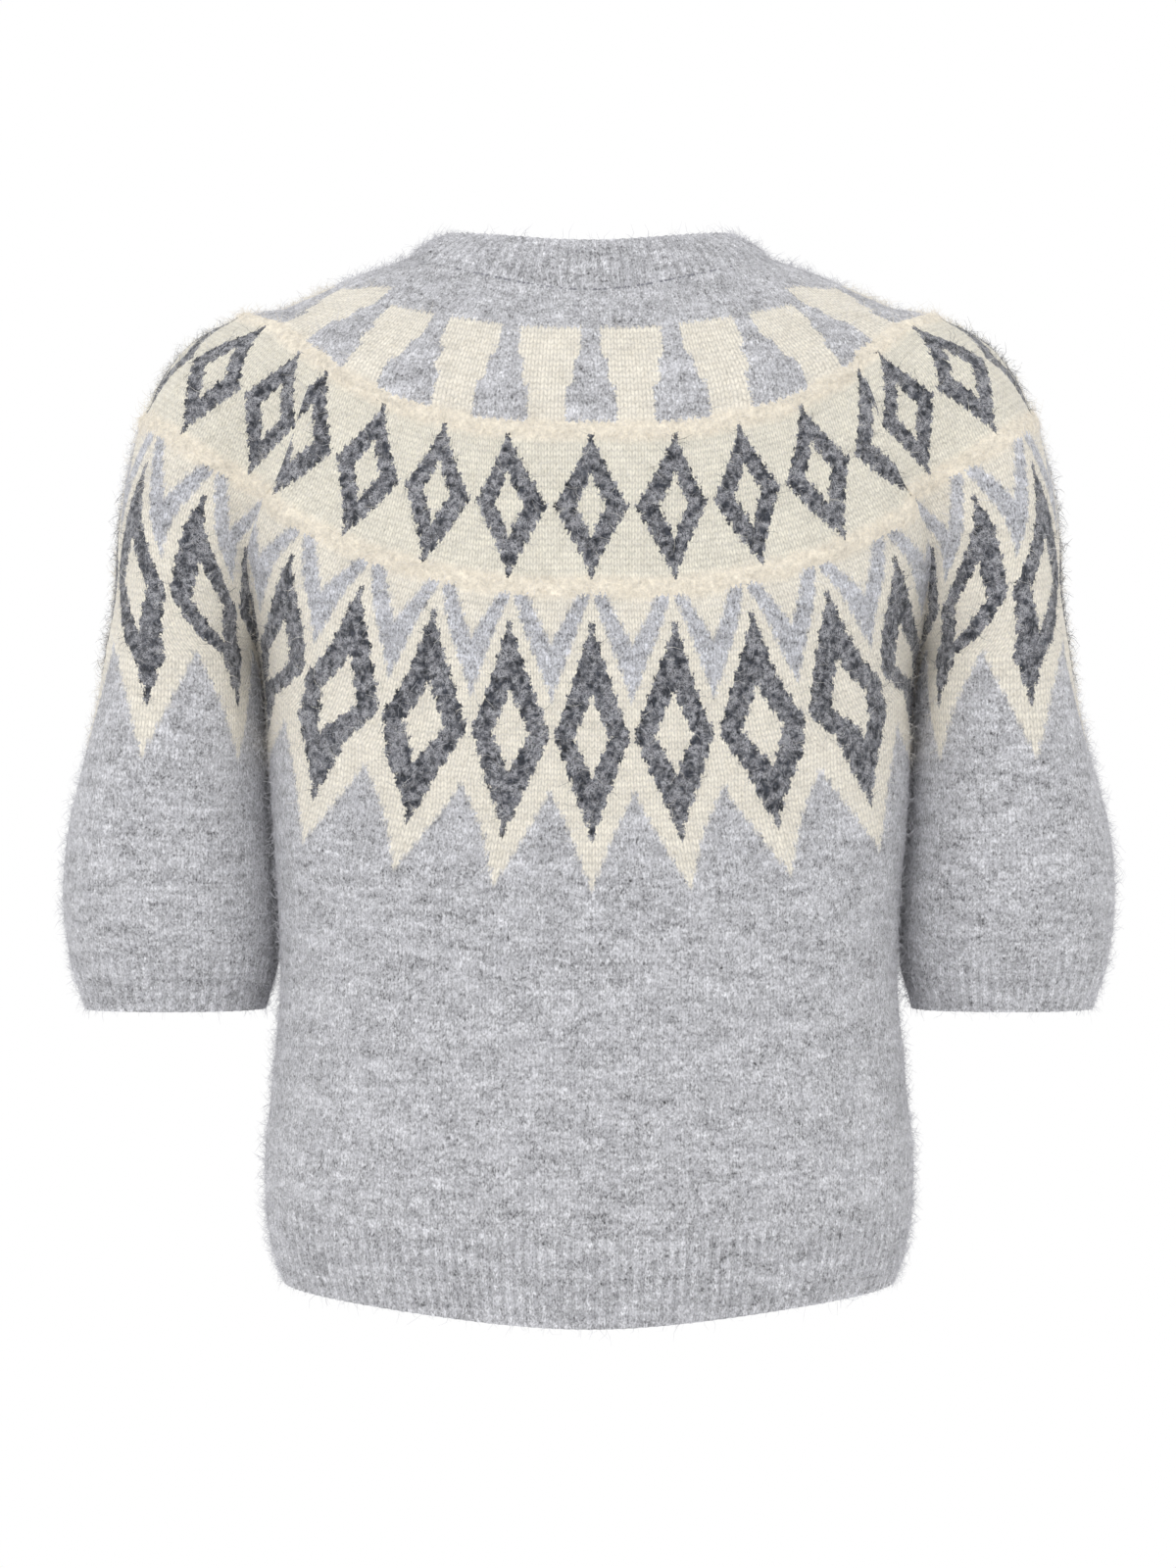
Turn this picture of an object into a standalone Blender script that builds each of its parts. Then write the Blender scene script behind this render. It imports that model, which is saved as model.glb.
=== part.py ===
"""A short-sleeved yoke cardigan, buttoned up and filled out as if worn, in Blender.

Lengths are in millimetres until an object is made, which is in metres. The wearer faces -Y, +X is
their left and +Z is up. The origin is in the middle of the neck, level with the neck seam at the
shoulders, where the wearer holds the garment up.

The cloth lies on one form, worked out from two tables of level sections: the body's, and the
sleeve's. Each panel is a grid of points on that form between its own seams, with a wall inside it.
"""

import math

import bmesh
import bpy
import numpy as np
from mathutils import Vector

MM = 0.001
SEAM_GAP = 0.3
CLOTH = 2.6
RIB_CLOTH = 3.0
RIB_RISE = 1.1
RIB_PITCH = 5.8

# The body's level sections: height, half width, depth behind and depth in front.
BODY_SECTIONS = (
    ("z", "half", "back", "front"),
    (12, 60, 34, 30),
    (0, 91, 50, 44),
    (-8, 114, 57, 49),
    (-20, 143, 63, 55),
    (-34, 170, 73, 62),
    (-55, 185, 85, 70),
    (-90, 190, 96, 83),
    (-125, 188, 103, 95),
    (-165, 177, 107, 106),
    (-200, 168.5, 108, 112),
    (-225, 165.5, 107.5, 113),
    (-251, 164, 106, 113),
    (-291, 161, 104, 111),
    (-331, 158, 103, 108),
    (-370, 157, 104, 107),
    (-418, 161, 106, 109),
    (-468, 165, 109, 112),
    (-500, 161, 108, 110),
    (-535, 150, 103, 104),
    (-560, 146, 100, 101),
)
# The sleeve's level sections: height, inner and outer edge, middle and half depth.
SLEEVE_SECTIONS = (
    ("z", "inner", "outer", "middle", "half_depth"),
    (-28, 159, 165, 0, 6),
    (-36, 150, 186, 0, 24),
    (-44, 148, 200.5, 0, 36),
    (-56, 151, 212.5, -1, 46),
    (-80, 155, 226, -2, 55),
    (-110, 160, 235, -2, 61),
    (-145, 164, 240, -2, 63),
    (-177, 167, 242, -3, 62),
    (-200, 168.5, 246, -4, 60),
    (-225, 168.5, 250, -6, 59),
    (-251, 167, 256, -8, 58),
    (-291, 164, 266, -12, 57),
    (-331, 161, 269, -14, 56),
    (-355, 161, 266, -16, 53),
    (-385, 167, 257, -18, 45),
    (-395, 168, 255, -18, 43),
)
SECTION_POWER = 2.25
UNDERARM = (168.5, -1.5, -200.0)
FILLET_TOP = -60.0
FILLET = 40.0
FAR = 330.0
RAY_STEP = 3.0
RAY_HALVINGS = 30
SLOPE_STEP = 0.2

# The neck seam, and the top edge of the band that stands on it: its reach from the middle and height.
NECK_BACK_Z = -21.0
NECK_FRONT_Z = -75.0
NECK_SCOOP_BACK = 1.6
NECK_SCOOP_FRONT = 1.9
BAND_TOP = {"back": (53, 4), "side": (72, 12), "front": (62, -52)}
BAND_BULGE = 1.5

# Raglan seams, as seen from behind and from in front: across and height.
RAGLAN_BACK = (("x", "z"), (106, -32), (129, -51), (140, -72), (147, -94), (155, -115), (165, -133))
RAGLAN_FRONT = (("x", "z"), (100, -40), (124, -62), (137, -84), (147, -106), (158, -126), (166, -140))
RAGLAN_BACK_TURN = 64.0
RAGLAN_FRONT_TURN = 116.0
CREASE_HEIGHTS = (-152, -168, -182, -191, -196)

# Where each sleeve row is seen from: share of the raglan, across, height and lean of its top.
SLEEVE_FAN = (
    ("share", "x", "z", "lean"),
    (0.0, 70, -32, 34),
    (0.25, 128, -74, 31),
    (0.5, 168, -116, 42),
    (0.75, 193, -163, 60),
    (1.0, 207, -200, 90),
)

HEM_Z = -520.0
HEM_BACK_DROP = 14.0
HEM_RIB = 46.0
CUFF_Z = -382.5
CUFF_RIB = 28.0
YOKE_BACK = 262.0
YOKE_FRONT = 205.0
SIDE_TURN = math.degrees(math.atan2(UNDERARM[0], UNDERARM[1]))

PLACKET = 28.0
LAP = 3.0
LAP_RUN = 32.0
UNDER_COLUMNS = 5
BUTTONS = 7
BUTTON_RADIUS = 7.5
BUTTON_THICK = 3.2
BUTTON_DISH = 0.9
BUTTON_EDGE = 0.9
BUTTON_LIP = 2.2
BUTTON_SIDES = 12
BUTTON_FIRST = 14.0
BUTTON_LAST = 22.0

YOKE_ROWS = 11
BODY_ROWS = 8
BACK_COLUMNS = 24
FRONT_COLUMNS = 10
SLEEVE_ROWS = 6
SLEEVE_COLUMNS = 26
CUFF_ROWS = 1
HEM_ROWS = 1
BAND_ROWS = 1
FINE_COLUMNS = 300
EDGE_CROWDING = math.radians(77)
MIRROR = np.array([-1, 1, 1])

# Each finish: colour and roughness.
KNIT = ((0.50, 0.51, 0.55), 0.95)
RIB = ((0.46, 0.47, 0.51), 0.95)
HORN = ((0.16, 0.15, 0.16), 0.35)


def columns_of(table):
    """The table's columns by name, as arrays."""
    rows = np.array(table[1:], float)
    return {name: rows[:, i] for i, name in enumerate(table[0])}


def smooth(x, known_x, known_y):
    """A curve through known points, with slopes read from each point's neighbours."""
    order = np.argsort(known_x)
    kx = np.asarray(known_x, float)[order]
    ky = np.asarray(known_y, float)[order]
    slope = np.gradient(ky, kx)
    x = np.clip(x, kx[0], kx[-1])
    i = np.clip(np.searchsorted(kx, x) - 1, 0, len(kx) - 2)
    span = kx[i + 1] - kx[i]
    t = (x - kx[i]) / span
    from_left = (1 + 2 * t) * (1 - t) ** 2 * ky[i] + t * (1 - t) ** 2 * span * slope[i]
    from_right = t * t * (3 - 2 * t) * ky[i + 1] - t * t * (1 - t) * span * slope[i + 1]
    return from_left + from_right


BODY = columns_of(BODY_SECTIONS)
SLEEVE = columns_of(SLEEVE_SECTIONS)


def outside(x, y, half, depth):
    """How far level points lie outside a rounded section, towards its middle."""
    reach = np.hypot(x, y) + 1e-9
    size = (np.abs(x / half) ** SECTION_POWER + np.abs(y / depth) ** SECTION_POWER) ** (1 / SECTION_POWER)
    return reach * (1 - 1 / np.maximum(size, 1e-6))


def form(points, part=None):
    """Above 0 outside the worn garment, below 0 inside. The two sides are alike.

    Below the top of the armhole crease, part "body" or "sleeve" leaves the other one out, so that
    each keeps its own side of the crease.
    """
    x, y, z = np.abs(points[..., 0]), points[..., 1], points[..., 2]
    half = smooth(z, BODY["z"], BODY["half"])
    depth = np.where(y > 0, smooth(z, BODY["z"], BODY["back"]), smooth(z, BODY["z"], BODY["front"]))
    body = outside(x, y, half, depth)
    inner = smooth(z, SLEEVE["z"], SLEEVE["inner"])
    outer = smooth(z, SLEEVE["z"], SLEEVE["outer"])
    middle = smooth(z, SLEEVE["z"], SLEEVE["middle"])
    half_depth = smooth(z, SLEEVE["z"], SLEEVE["half_depth"])
    sleeve = outside(x - (inner + outer) / 2, y - middle, (outer - inner) / 2, half_depth)
    sleeve = np.where(z > SLEEVE["z"].max(), FAR, sleeve)
    up = np.clip((z - UNDERARM[2]) / (FILLET_TOP - UNDERARM[2]), 0, 1)
    blend = FILLET * up**2 + 1e-6
    near = np.maximum(blend - np.abs(body - sleeve), 0) / blend
    nearest = np.minimum(body, sleeve)
    if part:
        own = body if part == "body" else sleeve
        nearest = np.where(z < CREASE_HEIGHTS[0], own, nearest)
    return nearest - near**2 * blend / 4


def hit(starts, directions, part=None):
    """Where rays from inside first leave the form."""
    starts = np.asarray(starts, float)
    directions = unit(np.asarray(directions, float))
    walk = np.arange(0, FAR, RAY_STEP)
    along_ray = starts[..., None, :] + directions[..., None, :] * walk[:, None]
    out = form(along_ray, part) > 0
    first = np.argmax(out, axis=-1)
    low = walk[np.maximum(first - 1, 0)]
    high = walk[first]
    for _ in range(RAY_HALVINGS):
        mid = (low + high) / 2
        is_out = form(starts + directions * mid[..., None], part) > 0
        high = np.where(is_out, mid, high)
        low = np.where(is_out, low, mid)
    return starts + directions * ((low + high) / 2)[..., None]


def unit(vectors):
    return vectors / np.maximum(np.linalg.norm(vectors, axis=-1, keepdims=True), 1e-9)


def outward(points, part=None):
    """The form's normal at points on it."""
    slopes = []
    for axis in np.eye(3) * SLOPE_STEP:
        slopes.append(form(points + axis, part) - form(points - axis, part))
    return unit(np.stack(slopes, axis=-1))


def crease_normal(points):
    """Shared by the body and the sleeve along their seam: halfway between their own normals."""
    return unit(outward(points, "body") + outward(points, "sleeve"))


def turned(turn):
    """Level directions at turns in degrees, from the centre back towards +X."""
    turn = np.radians(turn)
    return np.stack([np.sin(turn), np.cos(turn), np.zeros_like(turn)], axis=-1)


def neck_height(turn):
    """The neck seam's height: a shallow scoop behind, a deeper one in front."""
    facing = np.cos(np.radians(turn))
    behind = NECK_BACK_Z * np.clip(facing, 0, 1) ** NECK_SCOOP_BACK
    before = NECK_FRONT_Z * np.clip(-facing, 0, 1) ** NECK_SCOOP_FRONT
    return behind + before


def neck_seam(turn):
    """Points of the neck seam at turns about the neck."""
    turn = np.asarray(turn, float)
    starts = np.zeros(turn.shape + (3,))
    starts[..., 2] = neck_height(turn)
    return hit(starts, turned(turn))


def band_top(turn):
    """Points of the neckband's top edge."""
    facing = np.cos(np.radians(turn))
    (back, back_z), (side, side_z), (front, front_z) = (BAND_TOP[k] for k in ("back", "side", "front"))
    depth = np.where(facing > 0, back, front)
    reach = 1 / np.hypot(np.sin(np.radians(turn)) / side, facing / depth)
    points = turned(turn) * reach[..., None]
    behind = (back_z - side_z) * np.clip(facing, 0, 1) ** NECK_SCOOP_BACK
    before = (front_z - side_z) * np.clip(-facing, 0, 1) ** NECK_SCOOP_FRONT
    points[..., 2] = side_z + behind + before
    return points


def band_normal(turn):
    """The neckband's own outward direction, square to its rise."""
    rise = band_top(turn) - neck_seam(turn)
    tangent = neck_seam(turn + 0.5) - neck_seam(turn - 0.5)
    return unit(np.cross(rise, tangent))


def neck_normal(turn):
    """Shared by the yoke and the neckband at their seam."""
    return unit(band_normal(turn) + outward(neck_seam(turn)))


def face_of(x, z, side):
    """The form's back (side 1) or front (side -1) at an across and a height."""
    starts = np.stack([x, np.zeros_like(x), z], axis=-1)
    return hit(starts, np.broadcast_to([0.0, side, 0.0], starts.shape))


def crease_x(z, side):
    """Where the cloth dips most between the body and the sleeve, at one height."""
    across = np.linspace(155, 185, 61)
    depth = np.linspace(90, 0, 361)
    probe = np.zeros((len(across), len(depth), 3))
    probe[..., 0] = across[:, None]
    probe[..., 1] = depth * side
    probe[..., 2] = z
    first_inside = np.argmax(form(probe) <= 0, axis=-1)
    return across[np.argmax(first_inside)]


def lengths(points):
    """The length along a polyline up to each of its points."""
    return np.concatenate([[0], np.cumsum(np.linalg.norm(np.diff(points, axis=0), axis=-1))])


def along(points, shares):
    """Points at shares of a polyline's length."""
    length = lengths(points)
    return np.stack([np.interp(shares * length[-1], length, points[:, i]) for i in range(3)], axis=-1)


def raglan(table, turn, side, shares):
    """Points of one raglan seam from the neck to the underarm."""
    start = neck_seam(np.array(turn))
    knots = columns_of(table)
    x = [start[0], *knots["x"], *(crease_x(z, side) for z in CREASE_HEIGHTS), UNDERARM[0]]
    z = [start[2], *knots["z"], *CREASE_HEIGHTS, UNDERARM[2]]
    fine_z = np.linspace(z[0], z[-1], 160)[1:-1]
    points = face_of(smooth(fine_z, z, x), fine_z, side)
    return along(np.vstack([start, points, UNDERARM]), shares)


def hem_height(turn, up):
    """The hem's height, lower behind, and levels parallel to it."""
    return HEM_Z - HEM_BACK_DROP * np.clip(np.cos(np.radians(turn)), 0, 1) ** 2 + up


def turn_of(points):
    return np.degrees(np.arctan2(points[..., 0], points[..., 1]))


def centre_line(side, shares):
    """Heights down the centre back or front, at shares of the yoke's length."""
    fine_z = np.linspace(NECK_BACK_Z if side > 0 else NECK_FRONT_Z, -330, 200)
    points = face_of(np.zeros_like(fine_z), fine_z, side)
    yoke = YOKE_BACK if side > 0 else YOKE_FRONT
    return np.interp(shares * yoke, lengths(points), fine_z)


def body_rows(side):
    """Each row's height at the centre and its end at the seam, for the back (1) or a front (-1)."""
    table, turn = (RAGLAN_BACK, RAGLAN_BACK_TURN) if side > 0 else (RAGLAN_FRONT, RAGLAN_FRONT_TURN)
    shares = np.linspace(0, 1, YOKE_ROWS + 1)
    seam = raglan(table, turn, side, shares)
    heights = centre_line(side, shares)
    lower = np.linspace(0, 1, BODY_ROWS + 1)[1:]
    rib_top = hem_height(np.array(0.0 if side > 0 else 180.0), HEM_RIB)
    side_z = UNDERARM[2] + (hem_height(SIDE_TURN, HEM_RIB) - UNDERARM[2]) * lower
    low_seam = hit(level(side_z), np.broadcast_to(turned(np.array(SIDE_TURN)), (BODY_ROWS, 3)), "body")
    heights = np.concatenate([heights, heights[-1] + (rib_top - heights[-1]) * lower])
    return heights, np.vstack([seam, low_seam])


def level(z):
    """Points on the middle axis."""
    return np.stack([0 * z, 0 * z, z], axis=-1)


def row_heights(side, height, end, turns):
    """Heights along one row of the body: it bends from the centre's height to its end's."""
    middle = 0.0 if side > 0 else 180.0
    return height + (end[2] - height) * ((turns - middle) / (turn_of(end) - middle)) ** 2


def edge_turn(x, height):
    """The turn at which the front is x from the centre."""
    depth = -face_of(np.array(float(x)), np.array(float(height)), -1)[1]
    return 180.0 - math.degrees(math.atan2(x, depth))


def body_grid(side, shares):
    """Rows of points over the left half of the back (1) or the left front (-1), from the neck seam
    to the top of the rib. shares runs across a row, from the centre or the band to the seam."""
    grid = []
    for row, (height, end) in enumerate(zip(*body_rows(side))):
        first = 0.0 if side > 0 else edge_turn(PLACKET / 2, height)
        turns = first + (turn_of(end) - first) * shares
        if row == 0:
            grid.append(neck_seam(turns))
            continue
        points = hit(level(row_heights(side, height, end, turns)), turned(turns), "body")
        points[-1] = end
        grid.append(points)
    return np.array(grid)


def body_normals(grid):
    """Normals over a body grid, shared with the neckband along its top and the sleeve at its end."""
    normals = outward(grid, "body")
    normals[0] = neck_normal(turn_of(grid[0]))
    normals[1 : YOKE_ROWS + 1, -1] = crease_normal(grid[1 : YOKE_ROWS + 1, -1])
    return normals


def sleeve_grid():
    """Rows of points over the left sleeve, from the neck seam to the top of the cuff.

    A row runs from the back raglan over the shoulder to the front one. Below the underarm it goes
    all round, and its ends are one point.
    """
    shares = np.linspace(0, 1, YOKE_ROWS + 1)
    back = raglan(RAGLAN_BACK, RAGLAN_BACK_TURN, 1, shares)
    front = raglan(RAGLAN_FRONT, RAGLAN_FRONT_TURN, -1, shares)
    fan = columns_of(SLEEVE_FAN)
    across = np.linspace(0, 1, SLEEVE_COLUMNS + 1)
    fine = np.linspace(0, 1, FINE_COLUMNS)
    grid = [neck_seam(RAGLAN_BACK_TURN + (RAGLAN_FRONT_TURN - RAGLAN_BACK_TURN) * across)]
    for share, start, end in list(zip(shares, back, front))[1:]:
        lean = math.radians(float(smooth(share, fan["share"], fan["lean"])))
        eye = np.array([
            float(smooth(share, fan["share"], fan["x"])),
            UNDERARM[1] * share,
            float(smooth(share, fan["share"], fan["z"])),
        ])
        up = np.array([math.sin(lean), 0, math.cos(lean)])
        behind = np.array([0, 1.0, 0])
        off = np.cross(up, behind)
        rows = []
        for seam_point, sign in ((start, 1), (end, -1)):
            to = seam_point - eye
            angle = math.atan2(sign * to @ behind, to @ up) % math.tau
            flat = math.hypot(to @ behind, to @ up)
            rows.append((angle, to @ off / flat))
        (back_angle, back_off), (front_angle, front_off) = rows
        angles = back_angle - (back_angle + front_angle) * fine
        tilt = np.where(
            angles > 0, back_off * (angles / back_angle) ** 2, front_off * (angles / front_angle) ** 2
        )
        rays = (
            np.cos(angles)[:, None] * up + np.sin(angles)[:, None] * behind + tilt[:, None] * off
        )
        points = hit(np.broadcast_to(eye, rays.shape), rays, "sleeve")
        points[0] = start
        points[-1] = end
        grid.append(along(points, across))
    top = CUFF_Z + CUFF_RIB
    for z in np.linspace(UNDERARM[2], top, SLEEVE_ROWS + 1)[1:]:
        grid.append(sleeve_ring(z, across))
    return np.array(grid)


def sleeve_ring(z, across):
    """One level ring of the left sleeve, from its inner side round behind to the front, at shares
    of its length."""
    inner = float(smooth(z, SLEEVE["z"], SLEEVE["inner"]))
    outer = float(smooth(z, SLEEVE["z"], SLEEVE["outer"]))
    middle = float(smooth(z, SLEEVE["z"], SLEEVE["middle"]))
    angles = math.pi - math.tau * np.linspace(0, 1, FINE_COLUMNS)
    rays = np.stack([np.cos(angles), np.sin(angles), 0 * angles], -1)
    eye = np.array([(inner + outer) / 2, middle, z])
    return along(hit(np.broadcast_to(eye, rays.shape), rays, "sleeve"), across)


def drawn_in(points, gap, sides):
    """Moves the grid's named sides inwards by half a seam's gap."""
    moved = points.copy()
    if "top" in sides:
        moved[0] += gap * unit(points[1] - points[0])
    if "bottom" in sides:
        moved[-1] += gap * unit(points[-2] - points[-1])
    if "first" in sides:
        moved[:, 0] += gap * unit(points[:, 1] - points[:, 0])
    if "last" in sides:
        moved[:, -1] += gap * unit(points[:, -2] - points[:, -1])
    return moved


def material(name, colour, roughness):
    made = bpy.data.materials.new(name)
    made.use_nodes = True
    shader = made.node_tree.nodes["Principled BSDF"]
    shader.inputs["Base Color"].default_value = (*colour, 1)
    shader.inputs["Roughness"].default_value = roughness
    shader.inputs["Metallic"].default_value = 0
    return made


def wall(name, outer, inner, colour, closed_from=None):
    """A closed wall between two grids of points. From row closed_from its last column is its first."""
    rows, columns = outer.shape[:2]
    shell = bmesh.new()
    skins = []
    for grid in (outer, inner):
        made = [[None] * columns for _ in range(rows)]
        for i in range(rows):
            for j in range(columns):
                joined = closed_from is not None and i >= closed_from and j == columns - 1
                made[i][j] = made[i][0] if joined else shell.verts.new(grid[i, j] * MM)
        skins.append(made)
    front, back = skins
    for i in range(rows - 1):
        for j in range(columns - 1):
            ring = ((i, j), (i, j + 1), (i + 1, j + 1), (i + 1, j))
            shell.faces.new(dict.fromkeys(front[a][b] for a, b in ring))
            shell.faces.new(dict.fromkeys(back[a][b] for a, b in reversed(ring)))
    pairs = {}
    for i in range(rows):
        for j in range(columns):
            pairs[front[i][j]] = back[i][j]
    shell.verts.index_update()
    for edge in [e for e in shell.edges if e.is_boundary and e.verts[0] in pairs]:
        a, b = sorted(edge.verts, key=lambda vert: vert.index)
        shell.faces.new((a, b, pairs[b]))
        shell.faces.new((a, pairs[b], pairs[a]))
    bmesh.ops.triangulate(shell, faces=shell.faces, quad_method="SHORT_EDGE")
    bmesh.ops.recalc_face_normals(shell, faces=shell.faces)
    if shell.calc_volume(signed=True) < 0:
        bmesh.ops.reverse_faces(shell, faces=shell.faces)
    mesh = bpy.data.meshes.new(name)
    shell.to_mesh(mesh)
    shell.free()
    mesh.shade_smooth()
    mesh.set_sharp_from_angle(angle=math.radians(50))
    piece = bpy.data.objects.new(name, mesh)
    piece.data.materials.append(material(name, *colour))
    collection.objects.link(piece)
    return piece


def cloth_wall(name, grid, normals, sides, colour, thick=CLOTH, rise=0, mirror=False, closed_from=None):
    """A wall of cloth under a grid of outer points, clear of its neighbours at the named sides."""
    outer = drawn_in(grid, SEAM_GAP / 2, sides)
    if closed_from:
        open_part = drawn_in(outer, SEAM_GAP / 2, ("first", "last"))
        outer[:closed_from] = open_part[:closed_from]
        outer[closed_from, [0, -1], 0] += SEAM_GAP
    inner = outer - normals * thick
    outer = outer + normals * np.asarray(rise)[..., None]
    if mirror:
        outer = outer * MIRROR
        inner = inner * MIRROR
    return wall(name, outer, inner, colour, closed_from)


def rib_count(points):
    """How many ribs fit along a row of points."""
    return round(lengths(points)[-1] / RIB_PITCH)


def rib_rise(columns):
    """Crests and troughs in turn along a row, with a trough at each end."""
    return RIB_RISE * (np.arange(columns) % 2)


def lift(points):
    """How far the right front rises towards the centre, to lie on the left one."""
    near = np.clip(1 - (np.abs(points[..., 0]) - PLACKET / 2) / LAP_RUN, 0, 1)
    return LAP * near * near * (3 - 2 * near) * (points[..., 1] < 0)


def build_back():
    shares = np.sin(np.linspace(0, 1, BACK_COLUMNS // 2 + 1) * EDGE_CROWDING)
    half = body_grid(1, shares / shares[-1])
    normals = body_normals(half)
    grid = np.concatenate([half[:, :0:-1] * MIRROR, half], axis=1)
    normals = np.concatenate([normals[:, :0:-1] * MIRROR, normals], axis=1)
    cloth_wall("back", grid, normals, ("top", "bottom", "first", "last"), KNIT)


def build_fronts():
    shares = np.sin(np.linspace(0, 1, FRONT_COLUMNS + 1) * EDGE_CROWDING)
    grid = body_grid(-1, shares / shares[-1])
    normals = body_normals(grid)
    sides = ("top", "bottom", "first", "last")
    cloth_wall("front_left", grid, normals, sides, KNIT)
    raised = grid + normals * lift(grid)[..., None]
    cloth_wall("front_right", raised, normals, sides, KNIT, mirror=True)


def build_sleeves():
    grid = sleeve_grid()
    normals = outward(grid, "sleeve")
    normals[0] = neck_normal(turn_of(grid[0]))
    for column in (0, -1):
        normals[1 : YOKE_ROWS + 1, column] = crease_normal(grid[1 : YOKE_ROWS + 1, column])
    for name, mirror in (("sleeve_left", False), ("sleeve_right", True)):
        cloth_wall(name, grid, normals, ("top", "bottom"), KNIT, mirror=mirror, closed_from=YOKE_ROWS)


def build_cuffs():
    heights = np.linspace(CUFF_Z + CUFF_RIB, CUFF_Z, CUFF_ROWS + 1)
    ribs = rib_count(sleeve_ring(heights.mean(), np.linspace(0, 1, FINE_COLUMNS)))
    columns = 2 * ribs + 1
    grid = np.array([sleeve_ring(z, np.linspace(0, 1, columns)) for z in heights])
    rise = np.broadcast_to(rib_rise(columns), grid.shape[:2])
    for name, mirror in (("cuff_left", False), ("cuff_right", True)):
        cloth_wall(
            name, grid, outward(grid, "sleeve"), ("top",), RIB, RIB_CLOTH, rise, mirror, closed_from=0
        )


def hem_grid(side, turns):
    """Rows of points down the hem's rib, over turns of the back (1) or a front (-1)."""
    heights, ends = body_rows(side)
    top = row_heights(side, heights[-1], ends[-1], turns)
    low = hem_height(turns, 0)
    rows = [top + (low - top) * share for share in np.linspace(0, 1, HEM_ROWS + 1)]
    return np.array([hit(level(z), turned(turns), "body") for z in rows])


def build_hem():
    for name, side, first in (("hem_back", 1, -SIDE_TURN), ("hem_left", -1, edge_turn(PLACKET / 2, HEM_Z))):
        ribs = rib_count(hem_grid(side, np.linspace(first, SIDE_TURN, FINE_COLUMNS))[0])
        grid = hem_grid(side, even_turns(side, first, 2 * ribs + 1))
        normals = outward(grid, "body")
        rise = np.broadcast_to(rib_rise(2 * ribs + 1), grid.shape[:2])
        cloth_wall(name, grid, normals, ("top", "first", "last"), RIB, RIB_CLOTH, rise)
    raised = grid + normals * lift(grid)[..., None]
    cloth_wall("hem_right", raised, normals, ("top", "first", "last"), RIB, RIB_CLOTH, rise, mirror=True)


def even_turns(side, first, count):
    """Turns that space points evenly round the hem."""
    fine = np.linspace(first, SIDE_TURN, FINE_COLUMNS)
    length = lengths(hem_grid(side, fine)[0])
    return np.interp(np.linspace(0, length[-1], count), length, fine)


def band_grid(turns, shares):
    """Rows of points up the neckband, from the neck seam at share 0."""
    low, high, normal = neck_seam(turns), band_top(turns), band_normal(turns)
    rows = []
    for share in shares:
        rows.append(low + (high - low) * share + normal * (4 * BAND_BULGE * share * (1 - share)))
    return np.array(rows)


def band_normals(turns, shares):
    rows = [neck_normal(turns) if share == 0 else band_normal(turns) for share in shares]
    return np.array(rows)


def build_neckband():
    end = edge_turn(PLACKET / 2, NECK_FRONT_Z)
    fine = np.linspace(-end, end, FINE_COLUMNS)
    seam = neck_seam(fine)
    length = lengths(seam)
    columns = 2 * rib_count(seam) + 1
    turns = np.interp(np.linspace(0, length[-1], columns), length, fine)
    shares = np.linspace(1, 0, BAND_ROWS + 1)
    grid = band_grid(turns, shares)
    normals = band_normals(turns, shares)
    raised = grid + normals * (lift(grid) * (turns < 0))[..., None]
    rise = np.broadcast_to(rib_rise(columns), grid.shape[:2])
    cloth_wall("neckband", raised, normals, ("bottom", "first", "last"), RIB, RIB_CLOTH, rise)


def placket_grid(columns):
    """Rows of points and normals down the centre front, from the neckband's top to the hem."""
    spread = np.linspace(1, -1, columns)
    heights, ends = body_rows(-1)
    neck_turns = 180 - spread * (180 - edge_turn(PLACKET / 2, heights[0]))
    shares = np.linspace(1, 0, BAND_ROWS + 1)
    grid = list(band_grid(neck_turns, shares))
    normals = list(band_normals(neck_turns, shares))
    for height, end in list(zip(heights, ends))[1:]:
        turns = 180 - spread * (180 - edge_turn(PLACKET / 2, height))
        grid.append(hit(level(row_heights(-1, height, end, turns)), turned(turns), "body"))
        normals.append(outward(grid[-1], "body"))
    hem = hem_grid(-1, 180 - spread * (180 - edge_turn(PLACKET / 2, HEM_Z)))
    for row in hem[1:]:
        grid.append(row)
        normals.append(outward(row, "body"))
    return np.array(grid), np.array(normals)


def build_plackets():
    """The left band lies under the right one. Returns the right one's middle line for the buttons."""
    sides = ("first", "last")
    cloth_wall("button_band", *placket_grid(UNDER_COLUMNS), sides, RIB)
    columns = 2 * round(PLACKET / RIB_PITCH) + 1
    grid, normals = placket_grid(columns)
    rise = np.broadcast_to(rib_rise(columns), grid.shape[:2])
    cloth_wall("buttonhole_band", grid + normals * LAP, normals, sides, RIB, CLOTH, rise)
    return grid[:, columns // 2]


def button_profile():
    """Half of a button's section: its foot, rounded rim and dished middle."""
    radius, top, dish = BUTTON_RADIUS, BUTTON_THICK, BUTTON_THICK - BUTTON_DISH
    return (
        (0, 0),
        (radius - BUTTON_EDGE, 0),
        (radius, BUTTON_EDGE),
        (radius, dish),
        (radius - BUTTON_EDGE, top),
        (radius - BUTTON_LIP, top),
        (radius - BUTTON_LIP - BUTTON_EDGE, dish),
        (0, dish),
    )


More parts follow.
